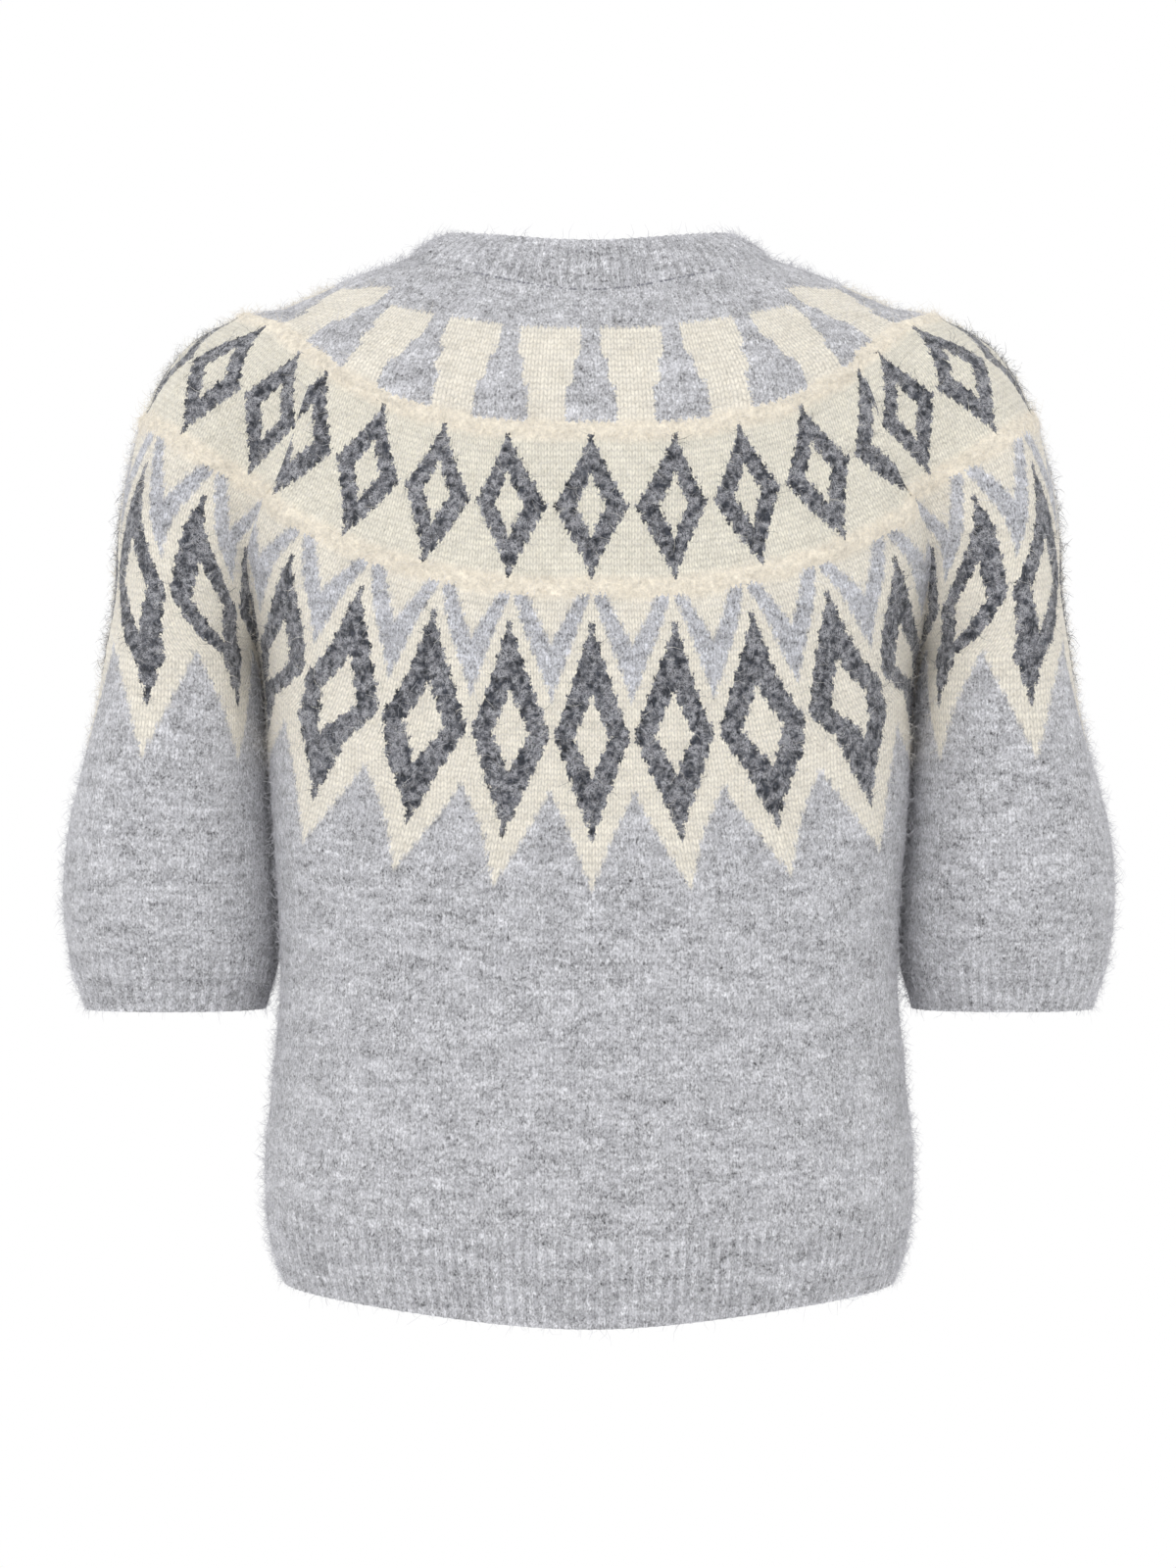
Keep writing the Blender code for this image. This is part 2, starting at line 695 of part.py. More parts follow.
def build_buttons(line):
    """Evenly spaced down the centre, each square to the cloth under it."""
    length = lengths(line)
    places = np.linspace(BUTTON_FIRST, length[-1] - BUTTON_LAST, BUTTONS)
    for number, place in enumerate(places, start=1):
        spans = (place - BUTTON_RADIUS, place, place + BUTTON_RADIUS)
        above, at, below = np.stack([np.interp(spans, length, line[:, i]) for i in range(3)], axis=-1)
        out = unit(np.cross((1, 0, 0), above - below))
        seat = at + out * (LAP + RIB_RISE + SEAM_GAP)
        half = bmesh.new()
        rim = [half.verts.new((r * MM, 0, h * MM)) for r, h in button_profile()]
        edges = [half.edges.new(pair) for pair in zip(rim, rim[1:])]
        bmesh.ops.spin(
            half, geom=rim + edges, axis=(0, 0, 1), cent=(0, 0, 0), angle=math.tau, steps=BUTTON_SIDES,
            use_merge=True, use_duplicate=False,
        )
        bmesh.ops.remove_doubles(half, verts=half.verts, dist=0.00001)
        bmesh.ops.recalc_face_normals(half, faces=half.faces)
        mesh = bpy.data.meshes.new(f"button_{number}")
        half.to_mesh(mesh)
        half.free()
        mesh.shade_smooth()
        mesh.set_sharp_from_angle(angle=math.radians(35))
        button = bpy.data.objects.new(f"button_{number}", mesh)
        button.location = Vector(seat * MM)
        button.rotation_euler = Vector(out).to_track_quat("Z", "Y").to_euler()
        button.data.materials.append(material(f"button_{number}", *HORN))
        collection.objects.link(button)


for thing in list(bpy.data.objects):
    bpy.data.objects.remove(thing, do_unlink=True)
collection = bpy.data.collections.new("fair_isle_cardigan")
bpy.context.scene.collection.children.link(collection)
build_back()
build_fronts()
build_sleeves()
build_cuffs()
build_hem()
build_neckband()
build_buttons(build_plackets())
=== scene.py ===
import functools
import math

import bmesh
import bpy
import numpy as np
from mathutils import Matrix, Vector


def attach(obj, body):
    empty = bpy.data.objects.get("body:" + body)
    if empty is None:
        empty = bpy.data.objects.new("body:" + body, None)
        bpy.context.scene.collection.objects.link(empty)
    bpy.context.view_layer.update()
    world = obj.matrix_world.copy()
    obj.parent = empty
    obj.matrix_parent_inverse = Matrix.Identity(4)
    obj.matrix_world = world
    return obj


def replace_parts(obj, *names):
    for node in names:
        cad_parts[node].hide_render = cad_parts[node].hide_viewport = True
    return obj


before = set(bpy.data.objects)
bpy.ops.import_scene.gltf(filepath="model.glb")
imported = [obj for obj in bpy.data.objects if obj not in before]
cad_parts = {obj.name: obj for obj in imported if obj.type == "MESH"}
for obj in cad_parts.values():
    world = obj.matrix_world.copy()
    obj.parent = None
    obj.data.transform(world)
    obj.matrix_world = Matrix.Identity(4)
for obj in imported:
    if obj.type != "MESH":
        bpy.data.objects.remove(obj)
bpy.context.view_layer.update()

# ---- sizes, in millimetres: the garment's own form ----

MM = 0.001
CLOTH = 2.4
RIB_CLOTH = 2.6
RIB_RISE = 1.1
RIB_PITCH = 5.8

# The body's level sections: height, half width, depth behind and depth in front.
BODY_SECTIONS = (
    ("z", "half", "back", "front"),
    (12, 60, 34, 30),
    (0, 91, 50, 44),
    (-8, 114, 57, 49),
    (-20, 143, 63, 55),
    (-34, 170, 73, 62),
    (-55, 185, 85, 70),
    (-90, 190, 96, 83),
    (-125, 188, 103, 95),
    (-165, 177, 107, 106),
    (-200, 168.5, 108, 112),
    (-225, 165.5, 107.5, 113),
    (-251, 164, 106, 113),
    (-291, 161, 104, 111),
    (-331, 158, 103, 108),
    (-370, 157, 104, 107),
    (-418, 161, 106, 109),
    (-468, 165, 109, 112),
    (-500, 161, 108, 110),
    (-535, 150, 103, 104),
    (-560, 146, 100, 101),
)
# The sleeve's level sections: height, inner and outer edge, middle and half depth.
SLEEVE_SECTIONS = (
    ("z", "inner", "outer", "middle", "half_depth"),
    (-28, 159, 165, 0, 6),
    (-36, 150, 186, 0, 24),
    (-44, 148, 200.5, 0, 36),
    (-56, 151, 212.5, -1, 46),
    (-80, 155, 226, -2, 55),
    (-110, 160, 235, -2, 61),
    (-145, 164, 240, -2, 63),
    (-177, 167, 242, -3, 62),
    (-200, 168.5, 246, -4, 60),
    (-225, 165.9, 250, -6, 59),
    (-251, 164.2, 256, -8, 58),
    (-291, 161.1, 266, -12, 57),
    (-331, 158.2, 269, -14, 56),
    (-355, 159.5, 266, -16, 53),
    (-385, 167, 257, -18, 45),
    (-395, 168, 255, -18, 43),
)
SECTION_POWER = 2.25
UNDERARM = (168.5, -1.5, -200.0)
FILLET_TOP = -60.0
FILLET = 40.0
FAR = 330.0
RAY_STEP = 3.0
RAY_HALVINGS = 18
SLOPE_STEP = 0.2
# Where the crease between the body and the sleeve is looked for, and in how many steps.
CREASE_ACROSS = (155, 185, 61)
CREASE_DEPTHS = (90, 0, 361)
SEAM_POINTS = 160
CENTRE_POINTS = 200
CENTRE_END = -330

# The neck seam, and the top edge of the band that stands on it: its reach from the middle and height.
NECK_BACK_Z = -21.0
NECK_FRONT_Z = -75.0
NECK_SCOOP_BACK = 1.6
NECK_SCOOP_FRONT = 1.9
BAND_TOP = {"back": (53, 4), "side": (72, 12), "front": (62, -52)}
BAND_BULGE = 1.5

# Raglan seams, as seen from behind and from in front: across and height.
RAGLAN_BACK = (("x", "z"), (106, -32), (129, -51), (140, -72), (147, -94), (155, -115), (165, -133))
RAGLAN_FRONT = (("x", "z"), (100, -40), (124, -62), (137, -84), (147, -106), (158, -126), (166, -140))
RAGLAN_BACK_TURN = 64.0
RAGLAN_FRONT_TURN = 116.0
CREASE_HEIGHTS = (-152, -168, -182, -191, -196)

# Where each sleeve row is seen from: share of the raglan, across, height and lean of its top.
SLEEVE_FAN = (
    ("share", "x", "z", "lean"),
    (0.0, 70, -32, 34),
    (0.25, 128, -74, 31),
    (0.5, 168, -116, 42),
    (0.75, 193, -163, 60),
    (1.0, 207, -200, 90),
)

HEM_Z = -520.0
HEM_BACK_DROP = 14.0
HEM_RIB = 46.0
CUFF_Z = -382.5
CUFF_RIB = 28.0
YOKE_BACK = 262.0
YOKE_FRONT = 205.0
SIDE_TURN = math.degrees(math.atan2(UNDERARM[0], UNDERARM[1]))

PLACKET = 28.0
LAP = 3.0
LAP_RUN = 32.0
SEAM_GAP = 0.3
BUTTONS = 7
BUTTON_RADIUS = 7.5
BUTTON_THICK = 3.2
BUTTON_DISH = 0.9
BUTTON_EDGE = 0.9
BUTTON_LIP = 2.2
BUTTON_FIRST = 14.0
BUTTON_LAST = 22.0

YOKE_ROWS = 92
BODY_ROWS = 48
BACK_COLUMNS = 104
FRONT_COLUMNS = 46
SLEEVE_ROWS = 46
SLEEVE_COLUMNS = 84
FINE_COLUMNS = 260
RIB_ROWS = 12
RIB_STEPS = 4
EDGE_CROWDING = math.radians(70)
MIRROR = np.array([-1.0, 1.0, 1.0])


# ---- sizes, in millimetres: the pattern, folds, yarns and fibres ----

# Each ring's length down from the neck seam, at shares of the way from the centre back to the
# raglan seam.
BODY_RINGS = (
    ("share", "collar", "ridge_1", "ridge_2", "centres", "bottoms", "tips"),
    (0, 24.3, 80.5, 159.1, 231.5, 282, 307.2),
    (0.25, 26.6, 83, 161.9, 230.7, 283, 309),
    (0.5, 28.9, 85.8, 162.6, 234.9, 285.8, 311.5),
    (0.75, 31.2, 86.2, 161.6, 231.5, 293, 319),
    (0.82, 32.2, 84.7, 160.4, 226, 291.6, 320.8),
    (0.95, 34, 82, 158.3, 234.2, 289, 324),
    (1, 34.7, 79, 155, 234, 288, 325),
)
# The same over a sleeve, at shares of the way from either raglan seam to the shoulder line at 0.5.
SLEEVE_RINGS = (
    ("share", "collar", "ridge_1", "ridge_2", "centres", "bottoms", "tips"),
    (0, 22, 79, 151.5, 219, 272, 298),
    (0.1, 26, 78, 151, 218.5, 278, 306),
    (0.2, 36, 78.2, 155.7, 229, 291, 319),
    (0.3, 40, 85, 162, 240, 303, 331),
    (0.4, 41, 91, 167, 243, 309, 338),
    (0.5, 41, 93, 168, 245, 312, 341),
)
# Each ring's height on the chart, where motifs are drawn.
RING = {
    "collar": 22, "ridge_1": 78.6, "ridge_2": 157.2, "centres": 227.1, "bottoms": 283.4, "tips": 304.8,
}
# Down to a chart height: where motifs 0, 1, 2 and so on stand at two or more levels of the chart, as
# shares of the way to the raglan seam.
BODY_MOTIFS = (
    (78.6, (22, 74), ((0, 0.45, 0.775, 1.01, 1.2, 1.4), (0, 0.405, 0.755, 1.02, 1.2, 1.4))),
    (157.2, (82, 152), ((0, 0.362, 0.596, 0.796, 0.975, 1.14), (0, 0.304, 0.575, 0.796, 0.996, 1.19))),
    (9999, (175, 227, 283, 305), (
        (0, 0.283, 0.508, 0.705, 0.888, 1.06),
        (0, 0.254, 0.485, 0.695, 0.885, 1.06),
        (0, 0.258, 0.500, 0.729, 0.955, 1.16),
        (0, 0.287, 0.537, 0.770, 1.0, 1.22),
    )),
)
BODY_SHIFT = 0.009
BODY_SLANT = 0.012
# On a sleeve: the chart's level down to which a spacing holds, the first motif's share and the spacing.
SLEEVE_MOTIFS = ((78.6, 0.0, 0.29), (157.2, 0.072, 0.158), (9999, 0.135, 0.155))
ROW = 3.15
WALES = 14.0
FIRST_ROUND_WALES = 12.0
RIB_WALES = 2.0
PLAIN = 1000.0

# Soft folds: share across the piece, length down, lean, length, width and depth.
FOLDS = {
    "back": (
        (-0.93, 250, -8, 90, 13, -1.5),
        (-0.84, 318, -24, 80, 15, 1.1),
        (0.92, 262, 10, 100, 14, -1.6),
        (0.80, 340, 28, 84, 16, 1.2),
        (-0.45, 415, -64, 110, 13, -0.9),
        (0.30, 392, 70, 130, 15, 0.9),
        (0.05, 455, 84, 150, 12, -0.8),
        (0.62, 448, 58, 90, 14, -0.9),
        (-0.70, 440, -80, 70, 11, 0.8),
    ),
    "front_left": (
        (0.90, 225, 14, 90, 13, -1.6),
        (0.72, 290, 35, 80, 16, 1.3),
        (0.40, 372, 72, 90, 14, -1.0),
        (0.78, 395, 58, 70, 13, 0.9),
        (0.22, 300, 20, 120, 12, -0.8),
    ),
    "front_right": (
        (0.92, 235, 10, 100, 14, -1.7),
        (0.70, 305, 42, 90, 15, 1.2),
        (0.46, 350, 66, 70, 12, -0.9),
        (0.30, 402, 80, 100, 14, 0.9),
        (0.20, 250, 14, 100, 13, -0.8),
    ),
    "sleeve_left": (
        (0.10, 262, 12, 110, 11, -1.8),
        (0.17, 305, 40, 70, 13, 1.3),
        (0.30, 352, 74, 90, 12, -1.1),
        (0.42, 322, 20, 120, 15, 1.0),
        (0.62, 300, -30, 80, 13, -1.2),
        (0.82, 270, -14, 100, 12, -1.6),
        (0.74, 350, -70, 80, 12, 0.9),
    ),
    "sleeve_right": (
        (0.09, 255, 8, 100, 12, -1.9),
        (0.19, 296, 52, 84, 12, 1.4),
        (0.26, 340, 80, 70, 11, -1.2),
        (0.36, 368, 66, 60, 12, 0.9),
        (0.45, 300, 12, 110, 14, -1.0),
        (0.66, 320, -44, 90, 14, 1.1),
        (0.84, 262, -10, 110, 13, -1.7),
    ),
}
# How far folds wander and how often, how far down they start, and the sizes their shares stand for.
FOLD_WANDER = 0.3
FOLD_WAVES = 2.6
FOLD_START = 40
FOLD_EDGE = 0.06
BODY_SPAN = 170.0
SLEEVE_SPAN = 280.0
SOFT_RIB = 0.85
TUBE_SIDES = 8
LINK_RADIUS = 0.7
LINK_PITCH = 2.4
LINK_OUT = 0.35
LINK_SINK = 0.9
LINK_DROP = 1.2
LINK_POINTS = 1100
LINK_SPAN = 0.99
HORN_SIDES = 48
HOLES = ((-1.5, -1.5), (1.5, -1.5), (1.5, 1.5), (-1.5, 1.5))
HOLE_RADIUS = 0.85
HOLE_SIDES = 20
HOLE_DEPTH = 12.0
THREAD_RADIUS = 0.42
THREAD_STEPS = 150
SHANK_RADIUS = 1.1
SHANK_TURNS = 4
SHANK_DEPTH = 1.9
SHANK_STEPS = 8
BUTTON_SWING = 14.0
RIDGE_RISE = 1.7
RIDGE_REACH = 3.7
# The raised rounds wander by sizes, rates and shifts, and are lumpy by a share.
RIDGE_WANDER = ((0.6, 9.1, 0.0), (0.4, 23.7, 1.3))
RIDGE_LUMPS = 0.22

FUZZ = {
    "back": 36000, "front_left": 15500, "front_right": 15500,
    "sleeve_left": 20500, "sleeve_right": 20500,
    "cuff_left": 2600, "cuff_right": 2600, "hem_back": 6000, "hem_left": 2900, "hem_right": 2900,
    "neckband": 3600, "button_band": 1500, "buttonhole_band": 3600,
}
FIBRE_LENGTH = (3.0, 10.0)
FIBRE_WIDTH = 0.19
# A fibre's rise from the cloth in radians, how far it bends, how deep it roots and how it tapers.
FIBRE_RISE = (0.10, 1.20)
FIBRE_BEND = 0.9
FIBRE_ROOT = 0.2
FIBRE_TAPER = (1.0, 0.9, 0.35)
FIBRE_CORNERS = 6
RIB_GROWTH = 3

# ---- the studio, in metres ----

CAMERA_AT = (0.0005, 2.444, -0.2675)
CAMERA_LENS = 110
FLOOR_HALF = 1.3
FLOOR_Z = -1.2
FLOOR_PALE = 0.9
KEY_AT = (1.0, 2.2, 1.2)
KEY_TOWARDS = (0, 0, -0.25)
KEY_SIZE = 1.2
KEY_WATTS = 12
SKY = 1.0


def columns_of(table):
    """The table's columns by name, as arrays."""
    rows = np.array(table[1:], float)
    return {name: rows[:, i] for i, name in enumerate(table[0])}


def smooth(x, known_x, known_y):
    """A curve through known points, with slopes read from each point's neighbours."""
    order = np.argsort(known_x)
    kx = np.asarray(known_x, float)[order]
    ky = np.asarray(known_y, float)[order]
    slope = np.gradient(ky, kx)
    x = np.clip(x, kx[0], kx[-1])
    i = np.clip(np.searchsorted(kx, x) - 1, 0, len(kx) - 2)
    span = kx[i + 1] - kx[i]
    t = (x - kx[i]) / span
    from_left = (1 + 2 * t) * (1 - t) ** 2 * ky[i] + t * (1 - t) ** 2 * span * slope[i]
    from_right = t * t * (3 - 2 * t) * ky[i + 1] - t * t * (1 - t) * span * slope[i + 1]
    return from_left + from_right


def read(table, at):
    """A table's other columns where its first one is at a value."""
    first, *others = table.values()
    return [smooth(at, first, column) for column in others]


BODY = columns_of(BODY_SECTIONS)
SLEEVE = columns_of(SLEEVE_SECTIONS)


def outside(x, y, half, depth):
    """How far level points lie outside a rounded section, towards its middle."""
    reach = np.hypot(x, y) + 1e-9
    powers = np.abs(x / half) ** SECTION_POWER + np.abs(y / depth) ** SECTION_POWER
    size = powers ** (1 / SECTION_POWER)
    return reach * (1 - 1 / np.maximum(size, 1e-6))


def form(points, part=None):
    """Above 0 outside the worn garment, below 0 inside. The two sides are alike.

    Below the top of the armhole crease, part "body" or "sleeve" leaves the other one out, so that
    each keeps its own side of the crease.
    """
    x, y, z = np.abs(points[..., 0]), points[..., 1], points[..., 2]
    half, back, front = read(BODY, z)
    body = outside(x, y, half, np.where(y > 0, back, front))
    inner, outer, middle, half_depth = read(SLEEVE, z)
    sleeve = outside(x - (inner + outer) / 2, y - middle, (outer - inner) / 2, half_depth)
    sleeve = np.where(z > SLEEVE["z"].max(), FAR, sleeve)
    up = np.clip((z - UNDERARM[2]) / (FILLET_TOP - UNDERARM[2]), 0, 1)
    blend = FILLET * up**2 + 1e-6
    near = np.maximum(blend - np.abs(body - sleeve), 0) / blend
    nearest = np.minimum(body, sleeve)
    if part:
        own = body if part == "body" else sleeve
        nearest = np.where(z < CREASE_HEIGHTS[0], own, nearest)
    return nearest - near**2 * blend / 4


def hit(starts, directions, part=None):
    """Where rays from inside first leave the form."""
    starts = np.asarray(starts, float)
    directions = unit(np.asarray(directions, float))
    walk = np.arange(0, FAR, RAY_STEP)
    along_ray = starts[..., None, :] + directions[..., None, :] * walk[:, None]
    out = form(along_ray, part) > 0
    first = np.argmax(out, axis=-1)
    low = walk[np.maximum(first - 1, 0)]
    high = walk[first]
    for _ in range(RAY_HALVINGS):
        mid = (low + high) / 2
        is_out = form(starts + directions * mid[..., None], part) > 0
        high = np.where(is_out, mid, high)
        low = np.where(is_out, low, mid)
    return starts + directions * ((low + high) / 2)[..., None]


def unit(vectors):
    return vectors / np.maximum(np.linalg.norm(vectors, axis=-1, keepdims=True), 1e-9)


def outward(points, part=None):
    """The form's normal at points on it."""
    slopes = []
    for axis in np.eye(3) * SLOPE_STEP:
        slopes.append(form(points + axis, part) - form(points - axis, part))
    return unit(np.stack(slopes, axis=-1))


def crease_normal(points):
    """Shared by the body and the sleeve along their seam: halfway between their own normals."""
    return unit(outward(points, "body") + outward(points, "sleeve"))


def turned(turn):
    """Level directions at turns in degrees, from the centre back towards +X."""
    turn = np.radians(turn)
    return np.stack([np.sin(turn), np.cos(turn), np.zeros_like(turn)], axis=-1)


def neck_height(turn):
    """The neck seam's height: a shallow scoop behind, a deeper one in front."""
    facing = np.cos(np.radians(turn))
    behind = NECK_BACK_Z * np.clip(facing, 0, 1) ** NECK_SCOOP_BACK
    before = NECK_FRONT_Z * np.clip(-facing, 0, 1) ** NECK_SCOOP_FRONT
    return behind + before


def neck_seam(turn):
    """Points of the neck seam at turns about the neck."""
    turn = np.asarray(turn, float)
    starts = np.zeros(turn.shape + (3,))
    starts[..., 2] = neck_height(turn)
    return hit(starts, turned(turn))


def band_top(turn):
    """Points of the neckband's top edge."""
    facing = np.cos(np.radians(turn))
    (back, back_z), (side, side_z), (front, front_z) = (BAND_TOP[k] for k in ("back", "side", "front"))
    depth = np.where(facing > 0, back, front)
    reach = 1 / np.hypot(np.sin(np.radians(turn)) / side, facing / depth)
    points = turned(turn) * reach[..., None]
    behind = (back_z - side_z) * np.clip(facing, 0, 1) ** NECK_SCOOP_BACK
    before = (front_z - side_z) * np.clip(-facing, 0, 1) ** NECK_SCOOP_FRONT
    points[..., 2] = side_z + behind + before
    return points


def band_normal(turn):
    """The neckband's own outward direction, square to its rise."""
    rise = band_top(turn) - neck_seam(turn)
    tangent = neck_seam(turn + 0.5) - neck_seam(turn - 0.5)
    return unit(np.cross(rise, tangent))


def neck_normal(turn):
    """Shared by the yoke and the neckband at their seam."""
    return unit(band_normal(turn) + outward(neck_seam(turn)))


def face_of(x, z, side):
    """The form's back (side 1) or front (side -1) at an across and a height."""
    starts = np.stack([x, np.zeros_like(x), z], axis=-1)
    return hit(starts, np.broadcast_to([0.0, side, 0.0], starts.shape))


def crease_x(z, side):
    """Where the cloth dips most between the body and the sleeve, at one height."""
    across = np.linspace(*CREASE_ACROSS)
    depth = np.linspace(*CREASE_DEPTHS)
    probe = np.zeros((len(across), len(depth), 3))
    probe[..., 0] = across[:, None]
    probe[..., 1] = depth * side
    probe[..., 2] = z
    first_inside = np.argmax(form(probe) <= 0, axis=-1)
    return across[np.argmax(first_inside)]


def lengths(points):
    """The length along a polyline up to each of its points."""
    return np.concatenate([[0], np.cumsum(np.linalg.norm(np.diff(points, axis=0), axis=-1))])


def along(points, shares):
    """Points at shares of a polyline's length."""
    length = lengths(points)
    return np.stack([np.interp(shares * length[-1], length, points[:, i]) for i in range(3)], axis=-1)


def raglan(table, turn, side, shares):
    """Points of one raglan seam from the neck to the underarm."""
    start = neck_seam(np.array(turn))
    knots = columns_of(table)
    x = [start[0], *knots["x"], *(crease_x(z, side) for z in CREASE_HEIGHTS), UNDERARM[0]]
    z = [start[2], *knots["z"], *CREASE_HEIGHTS, UNDERARM[2]]
    fine_z = np.linspace(z[0], z[-1], SEAM_POINTS)[1:-1]
    points = face_of(smooth(fine_z, z, x), fine_z, side)
    return along(np.vstack([start, points, UNDERARM]), shares)


def hem_height(turn, up):
    """The hem's height, lower behind, and levels parallel to it."""
    return HEM_Z - HEM_BACK_DROP * np.clip(np.cos(np.radians(turn)), 0, 1) ** 2 + up


def turn_of(points):
    return np.degrees(np.arctan2(points[..., 0], points[..., 1]))


def centre_line(side, shares):
    """Heights down the centre back or front, at shares of the yoke's length."""
    fine_z = np.linspace(NECK_BACK_Z if side > 0 else NECK_FRONT_Z, CENTRE_END, CENTRE_POINTS)
    points = face_of(np.zeros_like(fine_z), fine_z, side)
    yoke = YOKE_BACK if side > 0 else YOKE_FRONT
    return np.interp(shares * yoke, lengths(points), fine_z)


@functools.cache
def body_rows(side):
    """Each row's height at the centre and its end at the seam, for the back (1) or a front (-1)."""
    table, turn = (RAGLAN_BACK, RAGLAN_BACK_TURN) if side > 0 else (RAGLAN_FRONT, RAGLAN_FRONT_TURN)
    shares = np.linspace(0, 1, YOKE_ROWS + 1)
    seam = raglan(table, turn, side, shares)
    heights = centre_line(side, shares)
    lower = np.linspace(0, 1, BODY_ROWS + 1)[1:]
    rib_top = hem_height(np.array(0.0 if side > 0 else 180.0), HEM_RIB)
    side_z = UNDERARM[2] + (hem_height(SIDE_TURN, HEM_RIB) - UNDERARM[2]) * lower
    low_seam = hit(level(side_z), np.broadcast_to(turned(np.array(SIDE_TURN)), (BODY_ROWS, 3)), "body")
    heights = np.concatenate([heights, heights[-1] + (rib_top - heights[-1]) * lower])
    return heights, np.vstack([seam, low_seam])


def level(z):
    """Points on the middle axis."""
    return np.stack([0 * z, 0 * z, z], axis=-1)


def row_heights(side, height, end, turns):
    """Heights along one row of the body: it bends from the centre's height to its end's."""
    middle = 0.0 if side > 0 else 180.0
    return height + (end[2] - height) * ((turns - middle) / (turn_of(end) - middle)) ** 2


def edge_turn(x, height):
    """The turn at which the front is x from the centre."""
    depth = -face_of(np.array(float(x)), np.array(float(height)), -1)[1]
    return 180.0 - math.degrees(math.atan2(x, depth))


def body_grid(side, shares):
    """Rows of points over the left half of the back (1) or the left front (-1), from the neck seam
    to the top of the rib. shares runs across a row, from the centre or the band to the seam."""
    grid = []
    for row, (height, end) in enumerate(zip(*body_rows(side))):
        first = 0.0 if side > 0 else edge_turn(PLACKET / 2, height)
        turns = first + (turn_of(end) - first) * shares
        if row == 0:
            grid.append(neck_seam(turns))
            continue
        points = hit(level(row_heights(side, height, end, turns)), turned(turns), "body")
        points[-1] = end
        grid.append(points)
    return np.array(grid)


def body_normals(grid):
    """Normals over a body grid, shared with the neckband along its top and the sleeve at its end."""
    normals = outward(grid, "body")
    normals[0] = neck_normal(turn_of(grid[0]))
    normals[1 : YOKE_ROWS + 1, -1] = crease_normal(grid[1 : YOKE_ROWS + 1, -1])
    return normals


def sleeve_grid():
    """Rows of points over the left sleeve, from the neck seam to the top of the cuff.

    A row runs from the back raglan over the shoulder to the front one. Below the underarm it goes
    all round, and its ends are one point.
    """
    shares = np.linspace(0, 1, YOKE_ROWS + 1)
    back = raglan(RAGLAN_BACK, RAGLAN_BACK_TURN, 1, shares)
    front = raglan(RAGLAN_FRONT, RAGLAN_FRONT_TURN, -1, shares)
    fan = columns_of(SLEEVE_FAN)
    across = np.linspace(0, 1, SLEEVE_COLUMNS + 1)
    fine = np.linspace(0, 1, FINE_COLUMNS)
    grid = [neck_seam(RAGLAN_BACK_TURN + (RAGLAN_FRONT_TURN - RAGLAN_BACK_TURN) * across)]
    for share, start, end in list(zip(shares, back, front))[1:]:
        x, z, lean = read(fan, share)
        eye = np.array([x, UNDERARM[1] * share, z])
        up = np.array([math.sin(math.radians(lean)), 0, math.cos(math.radians(lean))])
        behind = np.array([0, 1.0, 0])
        off = np.cross(up, behind)
        rows = []
        for seam_point, sign in ((start, 1), (end, -1)):
            to = seam_point - eye
            angle = math.atan2(sign * to @ behind, to @ up) % math.tau
            flat = math.hypot(to @ behind, to @ up)
            rows.append((angle, to @ off / flat))
        (back_angle, back_off), (front_angle, front_off) = rows
        angles = back_angle - (back_angle + front_angle) * fine
        tilt = np.where(
            angles > 0, back_off * (angles / back_angle) ** 2, front_off * (angles / front_angle) ** 2
        )
        rays = (
            np.cos(angles)[:, None] * up + np.sin(angles)[:, None] * behind + tilt[:, None] * off
        )
        points = hit(np.broadcast_to(eye, rays.shape), rays, "sleeve")
        points[0] = start
        points[-1] = end
        grid.append(along(points, across))
    top = CUFF_Z + CUFF_RIB
    for z in np.linspace(UNDERARM[2], top, SLEEVE_ROWS + 1)[1:]:
        grid.append(sleeve_ring(z, across))
    return np.array(grid)


def sleeve_ring(z, across):
    """One level ring of the left sleeve, from its inner side round behind to the front, at shares
    of its length."""
    inner, outer, middle, _ = read(SLEEVE, z)
    angles = math.pi - math.tau * np.linspace(0, 1, FINE_COLUMNS)
    rays = np.stack([np.cos(angles), np.sin(angles), 0 * angles], -1)
    eye = np.array([(inner + outer) / 2, middle, z])
    return along(hit(np.broadcast_to(eye, rays.shape), rays, "sleeve"), across)


def rib_count(points):
    """How many ribs fit along a row of points."""
    return round(lengths(points)[-1] / RIB_PITCH)


def lift(points):
    """How far the right front rises towards the centre, to lie on the left one."""
    near = np.clip(1 - (np.abs(points[..., 0]) - PLACKET / 2) / LAP_RUN, 0, 1)
    return LAP * near * near * (3 - 2 * near) * (points[..., 1] < 0)


def hem_grid(side, turns):
    """Rows of points down the hem's rib, over turns of the back (1) or a front (-1)."""
    heights, ends = body_rows(side)
    top = row_heights(side, heights[-1], ends[-1], turns)
    low = hem_height(turns, 0)
    rows = [top + (low - top) * share for share in np.linspace(0, 1, RIB_ROWS + 1)]
    return np.array([hit(level(z), turned(turns), "body") for z in rows])


def even_turns(side, first, count):
    """Turns that space points evenly round the hem."""
    fine = np.linspace(first, SIDE_TURN, FINE_COLUMNS)
    length = lengths(hem_grid(side, fine)[0])
    return np.interp(np.linspace(0, length[-1], count), length, fine)


def band_grid(turns, shares):
    """Rows of points up the neckband, from the neck seam at share 0."""
    low, high, normal = neck_seam(turns), band_top(turns), band_normal(turns)
    rows = []
    for share in shares:
        rows.append(low + (high - low) * share + normal * (4 * BAND_BULGE * share * (1 - share)))
    return np.array(rows)


def band_normals(turns, shares):
    rows = [neck_normal(turns) if share == 0 else band_normal(turns) for share in shares]
    return np.array(rows)


